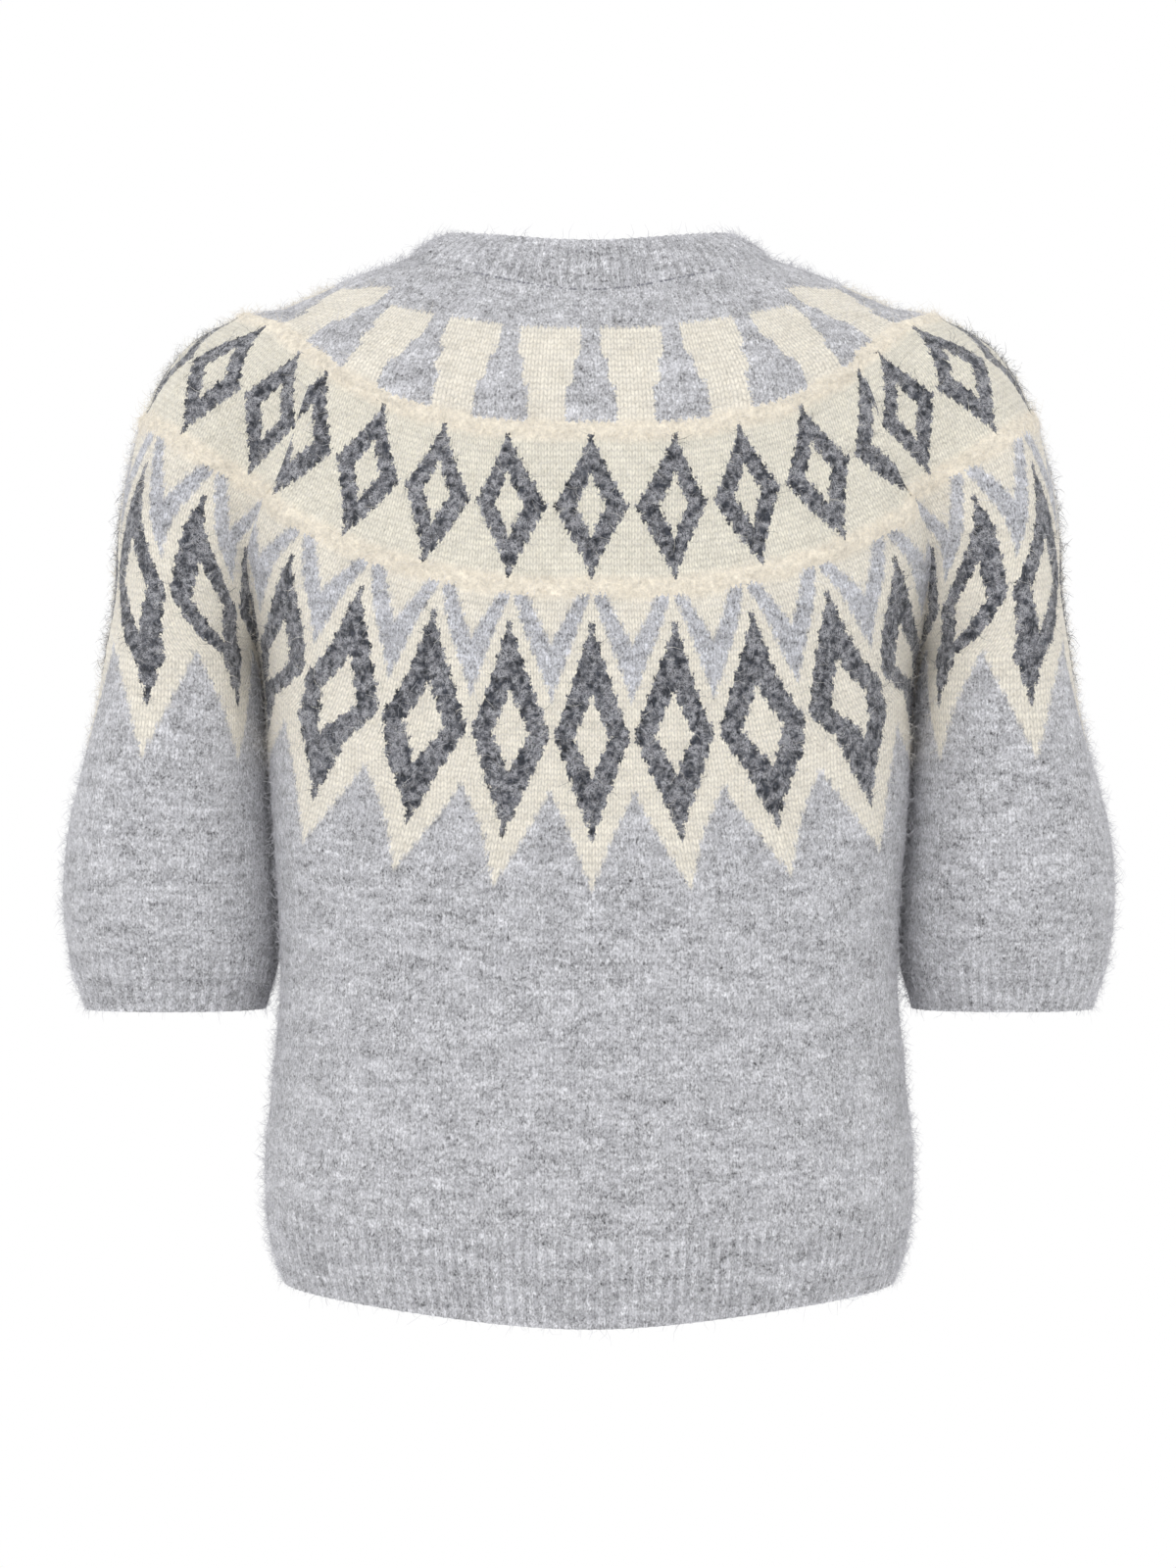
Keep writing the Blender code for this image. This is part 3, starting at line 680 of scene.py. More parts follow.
def placket_grid(columns):
    """Rows of points and normals down the centre front, from the neckband's top to the hem."""
    spread = np.linspace(1, -1, columns)
    heights, ends = body_rows(-1)
    neck_turns = 180 - spread * (180 - edge_turn(PLACKET / 2, heights[0]))
    shares = np.linspace(1, 0, RIB_ROWS + 1)
    grid = list(band_grid(neck_turns, shares))
    normals = list(band_normals(neck_turns, shares))
    for height, end in list(zip(heights, ends))[1:]:
        turns = 180 - spread * (180 - edge_turn(PLACKET / 2, height))
        grid.append(hit(level(row_heights(-1, height, end, turns)), turned(turns), "body"))
        normals.append(outward(grid[-1], "body"))
    hem = hem_grid(-1, 180 - spread * (180 - edge_turn(PLACKET / 2, HEM_Z)))
    for row in hem[1:]:
        grid.append(row)
        normals.append(outward(row, "body"))
    return np.array(grid), np.array(normals)


# ---- the knitted pattern, laid out from the neck ----

def ring_heights(rings, share, down):
    """The chart's height at each point, from its length down between the rings."""
    table = columns_of(rings)
    share = np.clip(share, 0, table["share"][-1])
    knots = [np.zeros_like(share)] + [np.interp(share, table["share"], table[name]) for name in RING]
    marks = [0.0, *RING.values()]
    height = marks[-1] + (down - knots[-1])
    for i in range(len(knots) - 2, -1, -1):
        part = marks[i] + (down - knots[i]) / (knots[i + 1] - knots[i]) * (marks[i + 1] - marks[i])
        height = np.where(down < knots[i + 1], part, height)
    return height


def body_chart(share, down):
    """Motif numbers and chart heights over the body, at shares from the centre to either seam."""
    share = share + BODY_SHIFT
    side, share = np.sign(share), np.abs(share)
    height = ring_heights(BODY_RINGS, share, down * (1 + BODY_SLANT * side * share))
    motif = np.zeros_like(height)
    for until, levels, places in reversed(BODY_MOTIFS):
        lines = [smooth(height, levels, column) for column in zip(*places)]
        number = sum(np.clip((share - a) / (b - a), 0, 1) for a, b in zip(lines, lines[1:]))
        motif = np.where(height < until, number, motif)
    return np.stack([side * motif, height], axis=-1)


def sleeve_chart(share, down):
    height = ring_heights(SLEEVE_RINGS, np.minimum(share, 1 - share), down)
    motif = np.zeros_like(height)
    for until, first, spacing in reversed(SLEEVE_MOTIFS):
        motif = np.where(height < until, (share - first) / spacing, motif)
    return np.stack([motif, height], axis=-1)


def rib_chart(columns, down):
    """Plain wales over ribs, two to a rib: one stands and one sinks."""
    motif = np.broadcast_to(np.arange(columns) / RIB_STEPS * RIB_WALES / WALES, down.shape)
    return np.stack([motif, PLAIN + down], axis=-1)


def folds(name, share, down):
    """How far soft folds lift or sink each point. They fade out at the piece's edges."""
    rise = np.zeros_like(down)
    on_sleeve = name.startswith("sleeve")
    span = SLEEVE_SPAN if on_sleeve else BODY_SPAN
    for place, at, lean, length, width, depth in FOLDS.get(name, ()):
        x, y = (share - place) * span, down - at
        c, s = math.cos(math.radians(lean)), math.sin(math.radians(lean))
        off, run = x * c - y * s, x * s + y * c
        off = off + FOLD_WANDER * width * np.sin(run / length * FOLD_WAVES)
        rise += depth * np.exp(-(off / width) ** 2 - (2 * run / length) ** 2)
    inner = np.minimum(share, 1 - share) if on_sleeve else np.clip(1 - np.abs(share), 0, 1)
    return rise * np.clip(inner / FOLD_EDGE, 0, 1) * np.clip(down / FOLD_START, 0, 1)


def ridges(chart):
    """The two raised rounds of the yoke, a little uneven."""
    motif, height = chart[..., 0], chart[..., 1]
    wander = sum(size * np.sin(motif * rate + shift) for size, rate, shift in RIDGE_WANDER)
    rise = np.zeros_like(height)
    for name in ("ridge_1", "ridge_2"):
        rise += RIDGE_RISE * np.exp(-((height - RING[name] + wander) / RIDGE_REACH) ** 2)
    return rise * (1 + RIDGE_LUMPS * np.sin(motif * 41.0) * np.sin(motif * 17.0 + 0.8))


# ---- shading ----

def linear(red, green, blue):
    """A colour named by its sRGB values out of 255, with alpha."""
    values = [v / 255 for v in (red, green, blue)]
    return (*(v / 12.92 if v < 0.04045 else ((v + 0.055) / 1.055) ** 2.4 for v in values), 1.0)


GREY = linear(196, 196, 200)
CREAM = linear(238, 232, 219)
PALE_FIELD = linear(234, 229, 215)
ROUND_CREAM = linear(239, 230, 213)
ZIGZAG_GREY = linear(194, 195, 201)
CHARCOAL = linear(54, 57, 65)
LIGHT_FIBRE = linear(226, 226, 232)
HORN_DARK = linear(58, 54, 53)
HORN_GRAIN = linear(120, 112, 104)
HORN_FLECK = linear(160, 150, 138)

# The heathered tone's noises: how fine each is per millimetre, its detail, seed, distortion and share.
TONES = (
    ((0.040, 0.040, 0.17), 3.0, 1.0, 0.0, 3.1),
    ((0.22, 0.22, 0.42), 3.0, 2.0, 0.0, 2.7),
    ((1.1, 1.1, 0.7), 2.0, 3.0, 0.6, 7.4),
)
# Curled strands lie where a noise passes its middle. Pale strands and the painted shadows of strands
# have seeds of their own.
STRAND_SCALES = (0.34, 0.50, 0.75)
STRAND_SEEDS = {"Curls": (5.0, 8.0, 12.0), "Shadows": (15.0, 18.0, 23.0)}
STRAND_WIDTH = 0.055
# How far frayed edges leave the stitches' own steps, in stitches, millimetres and as a share.
FRAY_ACROSS = 0.45
LAG_DOWN = 1.5
LEG_DOWN = 1.6
STEPPED = 0.6
LEG_SLANT = 0.55
NAP_BLUR = 0.28

# The chart's shapes, as heights on the chart and shares of a motif. A spindle flares from a height,
# over a length, by a share.
COLLAR_END = 22.5
SPINDLE_END = 74.5
SPINDLE_WAIST = 0.115
SPINDLE_FLARES = ((34.0, 10.0, 0.085), (51.0, 6.0, 0.076))
# Each diamond and its eye: middle, half height, half width and how far the points run out.
DIAMONDS = (
    ((117.0, 36.5, 0.458, 1.12), (117.0, 16.5, 0.185, 1.2)),
    ((229.0, 56.0, 0.475, 1.06), (229.5, 21.5, 0.228, 1.1)),
)
ZIGZAG_TOP = 161.0
# The zigzag's lower and upper edges: each one's share at the top, and its slope.
ZIGZAG_LOW = (0.015, 105.0)
ZIGZAG_HIGH = (0.19, 75.0)
POINT_SLOPE = 92.4
PALE_ROWS = (82.0, 153.0)
ROUND_HALF = 4.0
ROUND_CORE = 1.9
ROUND_DRIFT = 3.0
LAST_ROUND = 200.0

# How strongly each thing lightens or darkens the yarn: the ply's own tone; painted shade between the
# stitches' legs and painted light on their crests; painted shadows of the shaded strands; the pale
# strands; specks on the raised rounds; and painted shade in the ribs' troughs.
PLY_TONE = 0.8
STITCH_SHADE_MIDDLE = 0.65
STITCH_SHADE = 0.41
STITCH_SHADE_HIDDEN = -0.40
STRAND_SHADE = -0.8
STRAND_PALE = 1.1
STRAND_ON_DARK = 0.17
ROUND_SPECKS = 0.7
RIB_SHADE_RANGE = 0.34
RIB_TROUGH_SHADE = 0.85


def node_math(operation):
    return lambda value, *others: value.math(operation, *others)


class Value:
    """A number in a node tree, so that shapes can be written as sums."""

    def __init__(self, tree, socket):
        self.tree = tree
        self.socket = socket

    def math(self, operation, *others):
        made = self.tree.nodes.new("ShaderNodeMath")
        made.operation = operation
        for slot, value in zip(made.inputs, (self, *others)):
            join(self.tree, value, slot)
        return Value(self.tree, made.outputs[0])

    __add__ = node_math("ADD")
    __sub__ = node_math("SUBTRACT")
    __mul__ = node_math("MULTIPLY")
    __truediv__ = node_math("DIVIDE")
    __pow__ = node_math("POWER")
    __gt__ = node_math("GREATER_THAN")
    __lt__ = node_math("LESS_THAN")
    absolute = node_math("ABSOLUTE")
    floor = node_math("FLOOR")
    fraction = node_math("FRACT")
    either = node_math("MAXIMUM")

    def to_whole(self):
        """The distance to the nearest whole number."""
        return self.math("PINGPONG", 0.5)

    def clamped(self):
        return self.math("MAXIMUM", 0.0).math("MINIMUM", 1.0)

    def flipped(self):
        """What it lacks to 1."""
        return self * -1.0 + 1.0


def join(tree, value, slot):
    """A constant set on a socket, or a value linked to it."""
    if isinstance(value, Value):
        value = value.socket
    if isinstance(value, bpy.types.NodeSocket):
        tree.links.new(value, slot)
    else:
        slot.default_value = value


def feed(tree, slots, values):
    for key, value in values.items():
        join(tree, value, slots[key])


def add(tree, kind, inputs=(), **settings):
    made = tree.nodes.new(kind)
    for key, value in settings.items():
        setattr(made, key, value)
    feed(tree, made.inputs, dict(inputs))
    return made


def mix(tree, mask, below, above):
    """One colour over another where a mask says so."""
    return add(tree, "ShaderNodeMix", {0: mask, 6: below, 7: above}, data_type="RGBA").outputs[2]


def noise(tree, place, scale, detail=2.0, seed=0.0, distortion=0.0):
    """Noise from 0 to 1 about 0.5."""
    made = add(
        tree, "ShaderNodeTexNoise",
        {"Vector": place, "W": seed, "Scale": scale, "Detail": detail, "Distortion": distortion},
        noise_dimensions="4D",
    )
    return Value(tree, made.outputs[0])


def stretched(tree, place, scale):
    return add(tree, "ShaderNodeVectorMath", {0: place, 1: scale}, operation="MULTIPLY").outputs[0]


def combined(tree, x, y=0.0):
    return add(tree, "ShaderNodeCombineXYZ", {0: x, 1: y}).outputs[0]


def toned(tree, colour, amount):
    """A colour made lighter or darker: 1 leaves it."""
    if isinstance(colour, tuple):
        colour = colour[:3]
    return add(tree, "ShaderNodeVectorMath", {0: colour, "Scale": amount}, operation="SCALE").outputs[0]


def bumped(tree, height, strength, distance):
    """A normal over a relief, its distance in metres."""
    inputs = {"Height": height, "Strength": strength, "Distance": distance}
    return add(tree, "ShaderNodeBump", inputs).outputs[0]


def uv_numbers(tree, name):
    """The two numbers of a UV map."""
    spot = add(tree, "ShaderNodeUVMap", uv_map=name).outputs[0]
    return [Value(tree, part) for part in add(tree, "ShaderNodeSeparateXYZ", {0: spot}).outputs[:2]]


def new_group(name, takes, gives):
    """A node group with named sockets, and its inputs and outputs by name."""
    tree = bpy.data.node_groups.new(name, "ShaderNodeTree")
    for in_out, titles in (("INPUT", takes), ("OUTPUT", gives)):
        for title in titles:
            kind = {"Place": "Vector", "Color": "Color"}.get(title, "Float")
            tree.interface.new_socket(name=title, in_out=in_out, socket_type="NodeSocket" + kind)
    source = tree.nodes.new("NodeGroupInput").outputs
    values = {title: Value(tree, source[title]) for title in takes}
    return tree, values, tree.nodes.new("NodeGroupOutput").inputs


def use(tree, group, inputs):
    """A group's outputs by name."""
    made = add(tree, "ShaderNodeGroup", inputs, node_tree=group)
    return {socket.name: Value(tree, socket) for socket in made.outputs}


def wool_group():
    """Brushed wool from a place in millimetres: heathered tone, curled loose fibres with their painted
    shadows, and frayed edges.
    """
    tree, given, out = new_group("brushed wool", ("Place",), ("Tone", "Curls", "Shadows", "Fray", "Lag"))
    place = given["Place"]
    tone = None
    for fineness, detail, seed, distortion, share in TONES:
        finer = stretched(tree, place, fineness)
        part = (noise(tree, finer, 1.0, detail, seed, distortion) - 0.5) * share
        tone = part if tone is None else tone + part
    join(tree, tone, out["Tone"])
    for title, seeds in STRAND_SEEDS.items():
        strands = None
        for seed, scale in zip(seeds, STRAND_SCALES):
            off = (noise(tree, place, scale, 1.5, seed, 1.6) - 0.5).absolute()
            line = (off * (-1.0 / STRAND_WIDTH) + 1.0).clamped()
            strands = line if strands is None else strands.either(line)
        patches = ((noise(tree, place, 0.3, 1.0, seeds[0] + 20.0) - 0.36) * 4.0).clamped()
        join(tree, strands * patches, out[title])
    join(tree, (noise(tree, place, 0.8, 3.0, 30.0) - 0.5) * 4.0, out["Fray"])
    combed = stretched(tree, place, (1.5, 1.5, 0.45))
    join(tree, (noise(tree, combed, 1.0, 2.0, 40.0) - 0.5) * 4.0, out["Lag"])
    return tree


def chart_group():
    """The yoke's pattern at a motif number and a chart height, stitch by stitch."""
    tree, given, out = new_group(
        "fair isle chart", ("Motif", "Height", "Fray", "Lag"),
        ("Color", "Dark", "Heather", "Ridge", "Wale", "Row", "Ply"),
    )
    motif, height, fray, lag = given.values()
    count = (height > RING["ridge_1"]) * (WALES - FIRST_ROUND_WALES) + FIRST_ROUND_WALES
    wale = motif * count + 0.5
    leg = (wale.fraction() - 0.5).absolute() * 2.0
    row = height / ROW - leg.flipped() * LEG_SLANT
    cell = combined(tree, (wale * 2.0).floor(), row.floor())
    ply = Value(tree, add(tree, "ShaderNodeTexWhiteNoise", {0: cell}).outputs[0]) - 0.5
    across = wale + fray * FRAY_ACROSS
    x = ((across.floor() * STEPPED + (across - 0.5) * (1 - STEPPED)) / count).to_whole()
    y = height + lag * LAG_DOWN + fray + leg * LEG_DOWN - LEG_DOWN / 2

    def diamond(middle, tall, wide, spike):
        """Within a diamond whose points run out into spikes."""
        rest = ((y - middle).absolute() / tall).flipped().clamped()
        return x < (rest ** spike) * wide

    def soft(over):
        """From 0 to 1 where a height in millimetres passes 0, blurred by the brushed nap."""
        return (over * NAP_BLUR + 0.5).clamped()

    def sloped(share, slope):
        return (x - share) * slope + ZIGZAG_TOP

    knee, foot = (((y - start) / run).clamped() * more for start, run, more in SPINDLE_FLARES)
    collar = (y < COLLAR_END).either((y < SPINDLE_END) * (x < knee + foot + SPINDLE_WAIST))
    small, large = (diamond(*outer) * diamond(*eye).flipped() for outer, eye in DIAMONDS)
    dark = small.either(large)
    zigzag = (y > ZIGZAG_TOP) * soft(sloped(*ZIGZAG_LOW) - y) * soft(y - sloped(*ZIGZAG_HIGH))
    plain = soft(y + x * POINT_SLOPE - RING["tips"])
    drift = (noise(tree, combined(tree, motif), 6.0, 2.0, 4.0) - 0.5) * ROUND_DRIFT
    ridge, ridge_2 = (
        ((height + drift + lag - RING[name]).absolute() * (-1.0 / ROUND_HALF) + ROUND_CORE).clamped()
        for name in ("ridge_1", "ridge_2")
    )
    ridge = ridge.either(ridge_2)
    field = mix(tree, (y > PALE_ROWS[0]) * (y < PALE_ROWS[1]), CREAM, PALE_FIELD)
    field = mix(tree, ridge * (height < LAST_ROUND), field, ROUND_CREAM)
    field = mix(tree, zigzag, field, ZIGZAG_GREY)
    field = mix(tree, collar.either(plain), field, GREY)
    heather = collar.either(plain).either(zigzag) * 0.34 + dark * 0.40 + 0.085
    feed(tree, out, {
        "Color": mix(tree, dark, field, CHARCOAL), "Dark": dark, "Heather": heather, "Ridge": ridge,
        "Wale": leg, "Row": row, "Ply": ply,
    })
    return tree


def stitch_group():
    """Stocking stitch: how high the yarn stands, across a stitch's leg and down the rows."""
    tree, given, out = new_group("stocking stitch", ("Wale", "Row"), ("Height",))
    leg, turn = given["Wale"], given["Row"].fraction()
    across = (leg * leg.flipped() * 4.0) ** 0.6
    down = (turn * turn.flipped() * 4.0) ** 0.45
    join(tree, across * down, out["Height"])
    return tree


WOOL = wool_group()
CHART = chart_group()
STITCH = stitch_group()


def material(name):
    """A new material's tree, its main shader and the garment's place in millimetres."""
    made = bpy.data.materials.new(name)
    made.use_nodes = True
    tree = made.node_tree
    place = add(tree, "ShaderNodeTexCoord").outputs["Object"]
    return made, tree, tree.nodes["Principled BSDF"].inputs, stretched(tree, place, (1 / MM,) * 3)


def charted(tree, place):
    """The wool's and the chart's outputs at a piece's own chart map."""
    wool = use(tree, WOOL, {"Place": place})
    motif, height = uv_numbers(tree, "chart")
    spot = {"Motif": motif, "Height": height, "Fray": wool["Fray"], "Lag": wool["Lag"]}
    return wool, use(tree, CHART, spot)


def knit_material(name, ribbed=False, inside=False):
    """The knit's face, its ribs or its plain inside, with painted shade and light over its stitches, and
    on ribs painted shade in the troughs.
    """
    made, tree, shader, place = material(name)
    wool, chart = charted(tree, place)
    curls, dark, heather = wool["Curls"], chart["Dark"], chart["Heather"]
    ridge, flat = chart["Ridge"], chart["Ridge"].flipped()
    if inside:
        stitch = chart["Row"].to_whole() * 2.0
    else:
        stitch = use(tree, STITCH, {"Wale": chart["Wale"], "Row": chart["Row"]})["Height"]
    specks = noise(tree, place, 0.45, 2.0, 50.0)
    tone = wool["Tone"] + chart["Ply"] * PLY_TONE
    # Painted shade between the stitches' legs and painted light on their crests: the colour follows the
    # stitch relief. It is weaker on the heathered greys and the charcoal, and absent on the raised
    # rounds.
    depth = (heather * STITCH_SHADE_HIDDEN + STITCH_SHADE) * flat
    light = (tone * heather + 1.0) * ((stitch - STITCH_SHADE_MIDDLE) * depth + 1.0)
    # Painted shadows of loose strands darken the lighter yarn but not the charcoal.
    light = light * (wool["Shadows"] * dark.flipped() * heather * STRAND_SHADE + 1.0)
    light = light * ((specks - 0.5) * ridge * ROUND_SPECKS + 1.0)
    # Painted shade in the ribs' troughs and painted light on their crests, across each pair of wales.
    if ribbed:
        rib_shade = (uv_numbers(tree, "chart")[0] * (WALES / RIB_WALES)).to_whole() * 2.0
        light = light * (rib_shade * RIB_SHADE_RANGE + RIB_TROUGH_SHADE)
    pale = curls * (heather * STRAND_PALE + dark * STRAND_ON_DARK)
    relief = stitch * flat * 0.60 + tone * 0.22 + curls * 0.20 + specks * ridge * 1.4
    feed(tree, shader, {
        "Base Color": mix(tree, pale, toned(tree, chart["Color"], light), LIGHT_FIBRE),
        "Normal": bumped(tree, relief, 0.75, 0.0007),
        "Roughness": tone * 0.03 + 0.93,
        "Sheen Weight": 0.25, "Sheen Roughness": 0.6, "Specular IOR Level": 0.12,
    })
    return made


def fuzz_material():
    """Loose fibres in the colour of the stitch they leave, paler towards the tip."""
    made, tree, shader, place = material("fuzz")
    wool, chart = charted(tree, place)
    tint, along_it = uv_numbers(tree, "fibre")
    dark = chart["Dark"]
    paler = (tint * 0.45 + along_it * 0.15) * dark.flipped() + (tint ** 3.0) * 0.85 * dark
    colour = mix(tree, paler, chart["Color"], LIGHT_FIBRE)
    feed(tree, shader, {
        "Base Color": toned(tree, colour, wool["Tone"] * 0.06 + 1.0),
        "Roughness": 0.8, "Specular IOR Level": 0.15,
    })
    return made


def yarn_material(name, colour, pitch):
    """A twisted yarn, such as linking or sewing thread, with painted shade in the grooves of its twist.
    """
    made, tree, shader, place = material(name)
    run, around = uv_numbers(tree, "chart")
    twist = (run / pitch + around).to_whole() * 2.0
    # Painted shade in the twist's grooves and painted light on its crests, over the heathered tone.
    light = use(tree, WOOL, {"Place": place})["Tone"] * 0.10 + twist * 0.35 + 0.75
    feed(tree, shader, {
        "Base Color": toned(tree, colour, light),
        "Normal": bumped(tree, twist, 0.6, 0.0003), "Roughness": 0.9,
    })
    return made


def horn_material():
    """Dark horn with paler grain."""
    made, tree, shader, place = material("horn")
    grain = noise(tree, stretched(tree, place, (0.10, 0.10, 0.45)), 1.0, 4.0, 2.0, 1.4)
    fleck = noise(tree, place, 1.6, 3.0, 7.0)
    colour = mix(tree, ((grain - 0.42) * 3.2).clamped(), HORN_DARK, HORN_GRAIN)
    feed(tree, shader, {
        "Base Color": mix(tree, ((fleck - 0.60) * 5.0).clamped() * 0.5, colour, HORN_FLECK),
        "Normal": bumped(tree, fleck, 0.15, 0.0002), "Roughness": (grain - 0.5) * 0.3 + 0.36,
    })
    return made


KNIT = knit_material("knit")
INSIDE = knit_material("knit_inside", inside=True)
RIB = knit_material("rib", ribbed=True)
FUZZY = fuzz_material()
LINKING = yarn_material("linking_yarn", linear(140, 141, 148), 2.2)
THREAD = yarn_material("thread", linear(168, 168, 172), 0.8)
HORN = horn_material()


# ---- building pieces ----

def fine_rise(columns, depth):
    """Round crests and troughs along each row, with a trough at each end. depth runs down the rows,
    from 0 at the seam with the plain knit to 1 where the ribs stand full."""
    wave = 0.5 - 0.5 * np.cos(np.arange(columns) * math.tau / RIB_STEPS)
    return SOFT_RIB * wave * np.clip(np.asarray(depth), 0, 1)[:, None]


def set_uv(mesh, name, values):
    """A UV map from one pair of values for each vertex."""
    corner = np.zeros(len(mesh.loops), np.int32)
    mesh.loops.foreach_get("vertex_index", corner)
    layer = mesh.uv_layers.new(name=name)
    layer.uv.foreach_set("vector", values.reshape(-1, 2)[corner].reshape(-1).astype(np.float32))


def linked(name, data):
    """A new object in the scene."""
    made = bpy.data.objects.new(name, data)
    bpy.context.scene.collection.objects.link(made)
    return made


def mesh_of(name, shape):
    """A mesh of a bmesh, which is freed."""
    mesh = bpy.data.meshes.new(name)
    shape.to_mesh(mesh)
    shape.free()
    return mesh


def finished(source):
    """A mesh of an object with its modifiers. The object is removed."""
    mesh = bpy.data.meshes.new_from_object(source.evaluated_get(bpy.context.evaluated_depsgraph_get()))
    bpy.data.objects.remove(source)
    return mesh


def piece_mesh(name, grid, facing, chart, closed_from=None):
    """A one-layer mesh on a grid of points in millimetres, its faces turned to the facing normals."""
    rows, columns = grid.shape[:2]
    sheet = bmesh.new()
    bmesh.ops.create_grid(sheet, x_segments=columns - 1, y_segments=rows - 1, size=1)
    mesh = bpy.data.meshes.new(name)
    sheet.to_mesh(mesh)
    mesh.vertices.foreach_set("co", (grid * MM).reshape(-1).astype(np.float32))
    set_uv(mesh, "chart", chart)
    sheet.clear()
    sheet.from_mesh(mesh)
    sheet.verts.ensure_lookup_table()
    sheet.normal_update()
    normals = facing.reshape(-1, 3)
    agreement = sum(v.normal.dot(Vector(normals[v.index])) for v in sheet.verts)
    if agreement < 0:
        bmesh.ops.reverse_faces(sheet, faces=sheet.faces)
    if closed_from is not None:
        ends = {}
        for i in range(closed_from, rows):
            ends[sheet.verts[i * columns + columns - 1]] = sheet.verts[i * columns]
        bmesh.ops.weld_verts(sheet, targetmap=ends)
    for edge in sheet.edges:
        edge.smooth = not edge.is_boundary
    sheet.to_mesh(mesh)
    sheet.free()
    mesh.shade_smooth()
    return mesh


def add_piece(name, mesh, materials):
    piece = linked(name, mesh)
    for made in materials:
        mesh.materials.append(made)
    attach(piece, "root")
    return piece


def fuzz(name, grid, normals, chart, seed):
    """Loose fibres over a grid of points, each a curved ribbon, joined in one mesh."""
    count = FUZZ[name]
    random = np.random.default_rng(seed)
    a, b = grid[1:, 1:] - grid[:-1, :-1], grid[1:, :-1] - grid[:-1, 1:]
    area = np.linalg.norm(np.cross(a, b), axis=-1).ravel()
    i, j = np.unravel_index(random.choice(area.size, count, p=area / area.sum()), a.shape[:2])
    t, u = random.random((2, count, 1))

    def spread(values):
        upper = values[i, j] * (1 - u) + values[i, j + 1] * u
        return upper * (1 - t) + (values[i + 1, j] * (1 - u) + values[i + 1, j + 1] * u) * t

    out = unit(spread(normals))
    side = unit(np.cross(out, (0.0, 0.0, 1.0)))
    swirl = random.random((count, 1)) * math.tau
    lying = side * np.cos(swirl) + np.cross(out, side) * np.sin(swirl)
    bend = swirl + random.normal(0, FIBRE_BEND, (count, 1))
    bent = side * np.cos(bend) + np.cross(out, side) * np.sin(bend)
    rise, length = (
        low + (high - low) * random.random((count, 1)) ** power
        for (low, high), power in ((FIBRE_RISE, 1.5), (FIBRE_LENGTH, 1.6))
    )
    root = spread(grid) - out * FIBRE_ROOT
    first = unit(lying * np.cos(rise) + out * np.sin(rise)) * length / 2
    second = unit(bent * np.cos(rise * 0.5) + out * np.sin(rise * 0.5)) * length / 2
    width = unit(np.cross(first, random.normal(size=(count, 3)))) * FIBRE_WIDTH / 2
    steps = list(zip((root, root + first, root + first + second), FIBRE_TAPER))
    points = np.stack([p + sign * width * w for p, w in steps for sign in (-1, 1)], axis=1)
    strip = bmesh.new()
    bmesh.ops.create_grid(strip, x_segments=1, y_segments=2, size=1)
    single = linked(name + "_fibre", mesh_of(name + "_fibre", strip))
    single.modifiers.new("copies", "ARRAY").count = count
    joined = finished(single)
    joined.name = name + "_fuzz"
    joined.vertices.foreach_set("co", (points * MM).reshape(-1).astype(np.float32))
    set_uv(joined, "chart", np.repeat(spread(chart), FIBRE_CORNERS, axis=0))
    tint = np.repeat(random.random(count), FIBRE_CORNERS)
    set_uv(joined, "fibre", np.stack([tint, np.tile([0, 0, 0.5, 0.5, 1, 1], count)], axis=-1))
    joined.shade_smooth()
    return add_piece(name + "_fuzz", joined, (FUZZY,))


def cloth_piece(
    name, grid, normals, chart, outside, thick=CLOTH, rise=0.0, mirror=False, closed_from=None
):
    """One sheet of the garment with its fuzz."""
    outer = grid + normals * np.broadcast_to(rise, grid.shape[:2])[..., None]
    if mirror:
        outer = outer * MIRROR
        normals = normals * MIRROR
    mesh = piece_mesh(name + "_knit", outer, normals, chart, closed_from)
    made = add_piece(name + "_knit", mesh, (outside, INSIDE))
    wall = made.modifiers.new("wall", "SOLIDIFY")
    wall.thickness = thick * MM
    wall.offset = -1
    wall.material_offset = 1
    wall.material_offset_rim = 0
    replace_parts(made, name)
    loose = fuzz(name, outer, normals, chart, len(name) * 7 + mirror)
    return made


def down_each(grid):
    """Each point's length down its column."""
    steps = np.cumsum(np.linalg.norm(np.diff(grid, axis=0), axis=-1), axis=0)
    return np.concatenate([np.zeros((1, grid.shape[1])), steps], axis=0)


